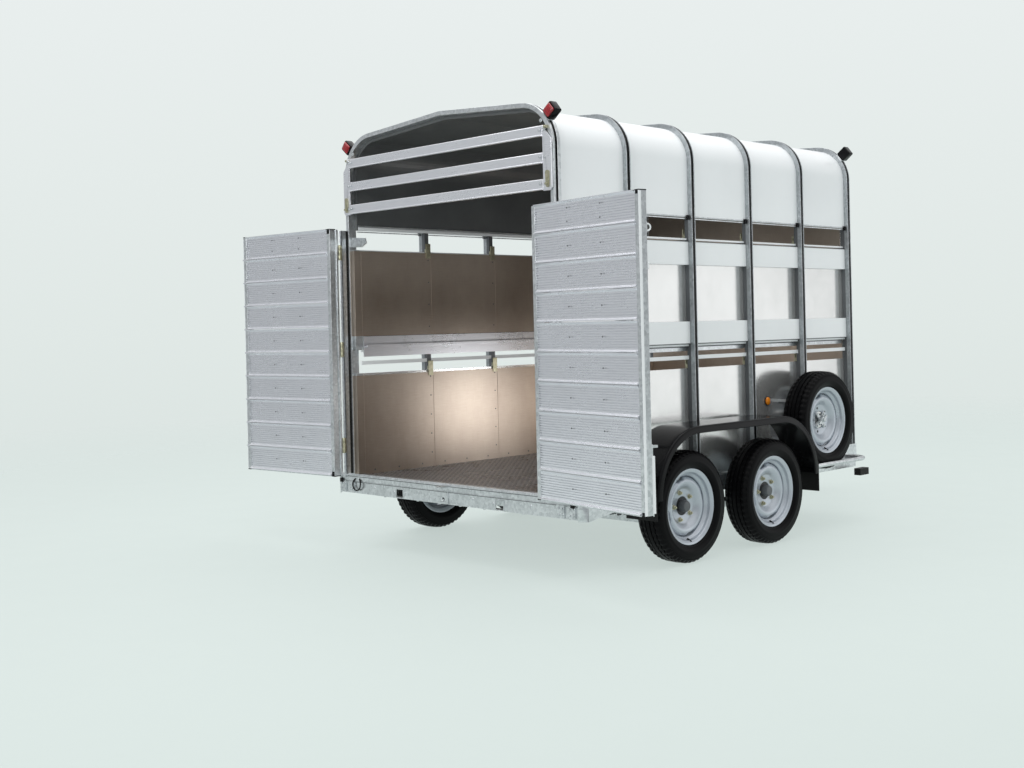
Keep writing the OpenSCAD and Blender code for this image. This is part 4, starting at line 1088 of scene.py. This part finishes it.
def stage_floor():
    """A pale floor that fades into the backdrop a few metres away."""
    mesh = bpy.data.meshes.new("ground")
    square = rectangle(-FLOOR_REACH, -FLOOR_REACH, FLOOR_REACH, FLOOR_REACH, ORIGIN.z)
    mesh.from_pydata(square, [], [(0, 1, 2, 3)])
    floor = bpy.data.objects.new("ground", mesh)
    bpy.context.scene.collection.objects.link(floor)
    g = Graph("studio_floor")
    tone = g.ramp(g.noise(0.4), 0.3, shade(FLOOR, 0.98), 0.7, FLOOR)
    away = g.node("ShaderNodeVectorMath", Vector=g.place)
    away.operation = "LENGTH"
    solid = g.spread(away.outputs["Value"], 1.0, 0.0, FADE_START, FADE_END)
    rough = g.spread(g.noise(3), 0.6, 0.75)
    glow = {"Emission_Color": FLOOR_GLOW, "Emission_Strength": 1.0}
    mesh.materials.append(g.done(tone, rough, g.noise(60), 0.02, 0.001, Alpha=solid, **glow))


def area_light(name, at, target, size, power):
    data = bpy.data.lights.new(name, "AREA")
    data.shape = "RECTANGLE"
    data.size, data.size_y = size
    data.energy = power
    lamp = bpy.data.objects.new(name, data)
    lamp.location = at
    lamp.visible_camera = False
    lamp.rotation_euler = (Vector(target) - Vector(at)).to_track_quat("-Z", "Y").to_euler()
    bpy.context.scene.collection.objects.link(lamp)


def surroundings():
    """A pale backdrop for the camera; what lights the object is darker round it than overhead."""
    world = bpy.data.worlds.new("studio")
    bpy.context.scene.world = world
    world.use_nodes = True
    tree = world.node_tree
    where = tree.nodes.new("ShaderNodeTexCoord")
    split = tree.nodes.new("ShaderNodeSeparateXYZ")
    tree.links.new(where.outputs["Generated"], split.inputs[0])
    seen = tree.nodes.new("ShaderNodeLightPath").outputs["Is Camera Ray"]
    choose = tree.nodes.new("ShaderNodeMix")
    choose.data_type = "RGBA"
    tree.links.new(seen, choose.inputs[MIX_SHARE])
    ramps = ((STUDIO_HEIGHTS, STUDIO), (BACKDROP_HEIGHTS, BACKDROP))
    for socket, ((low, high), stops) in zip(MIX_COLOURS, ramps):
        level = tree.nodes.new("ShaderNodeMapRange")
        level.inputs["From Min"].default_value = low
        level.inputs["From Max"].default_value = high
        tree.links.new(split.outputs["Z"], level.inputs["Value"])
        ramp = tree.nodes.new("ShaderNodeValToRGB")
        tree.links.new(level.outputs["Result"], ramp.inputs["Fac"])
        marks = ramp.color_ramp.elements
        while len(marks) < len(stops):
            marks.new(0.5)
        for mark, (at, colour) in zip(marks, stops):
            mark.position = at
            mark.color = (*colour, 1)
        tree.links.new(ramp.outputs["Color"], choose.inputs[socket])
    tree.links.new(choose.outputs[MIX_RESULT], tree.nodes["Background"].inputs["Color"])


def camera():
    """The photograph's camera, fitted to the body's straight edges."""
    data = bpy.data.cameras.new("camera")
    eye = bpy.data.objects.new("camera", data)
    bpy.context.scene.collection.objects.link(eye)
    yaw, pitch, roll = (math.radians(a) for a in (YAW, PITCH_DOWN, ROLL))
    ahead = Vector((-math.sin(yaw) * math.cos(pitch), math.cos(yaw) * math.cos(pitch), -math.sin(pitch)))
    right = Vector((math.cos(yaw), math.sin(yaw), 0))
    up = right.cross(ahead)
    x = right * math.cos(roll) + up * math.sin(roll)
    y = up * math.cos(roll) - right * math.sin(roll)
    eye.matrix_world = Matrix((x, y, -ahead)).transposed().to_4x4()
    eye.location = ORIGIN + Vector(EYE)
    data.sensor_width = SENSOR
    data.lens = FOCAL_PIXELS / IMAGE_WIDTH * SENSOR
    data.shift_y = (HORIZON_PIXEL - IMAGE_HEIGHT / 2) / IMAGE_WIDTH
    bpy.context.scene.camera = eye


stage_floor()
surroundings()
camera()
for light in LIGHTS:
    area_light(*light)
bpy.context.scene.view_settings.view_transform = "Standard"
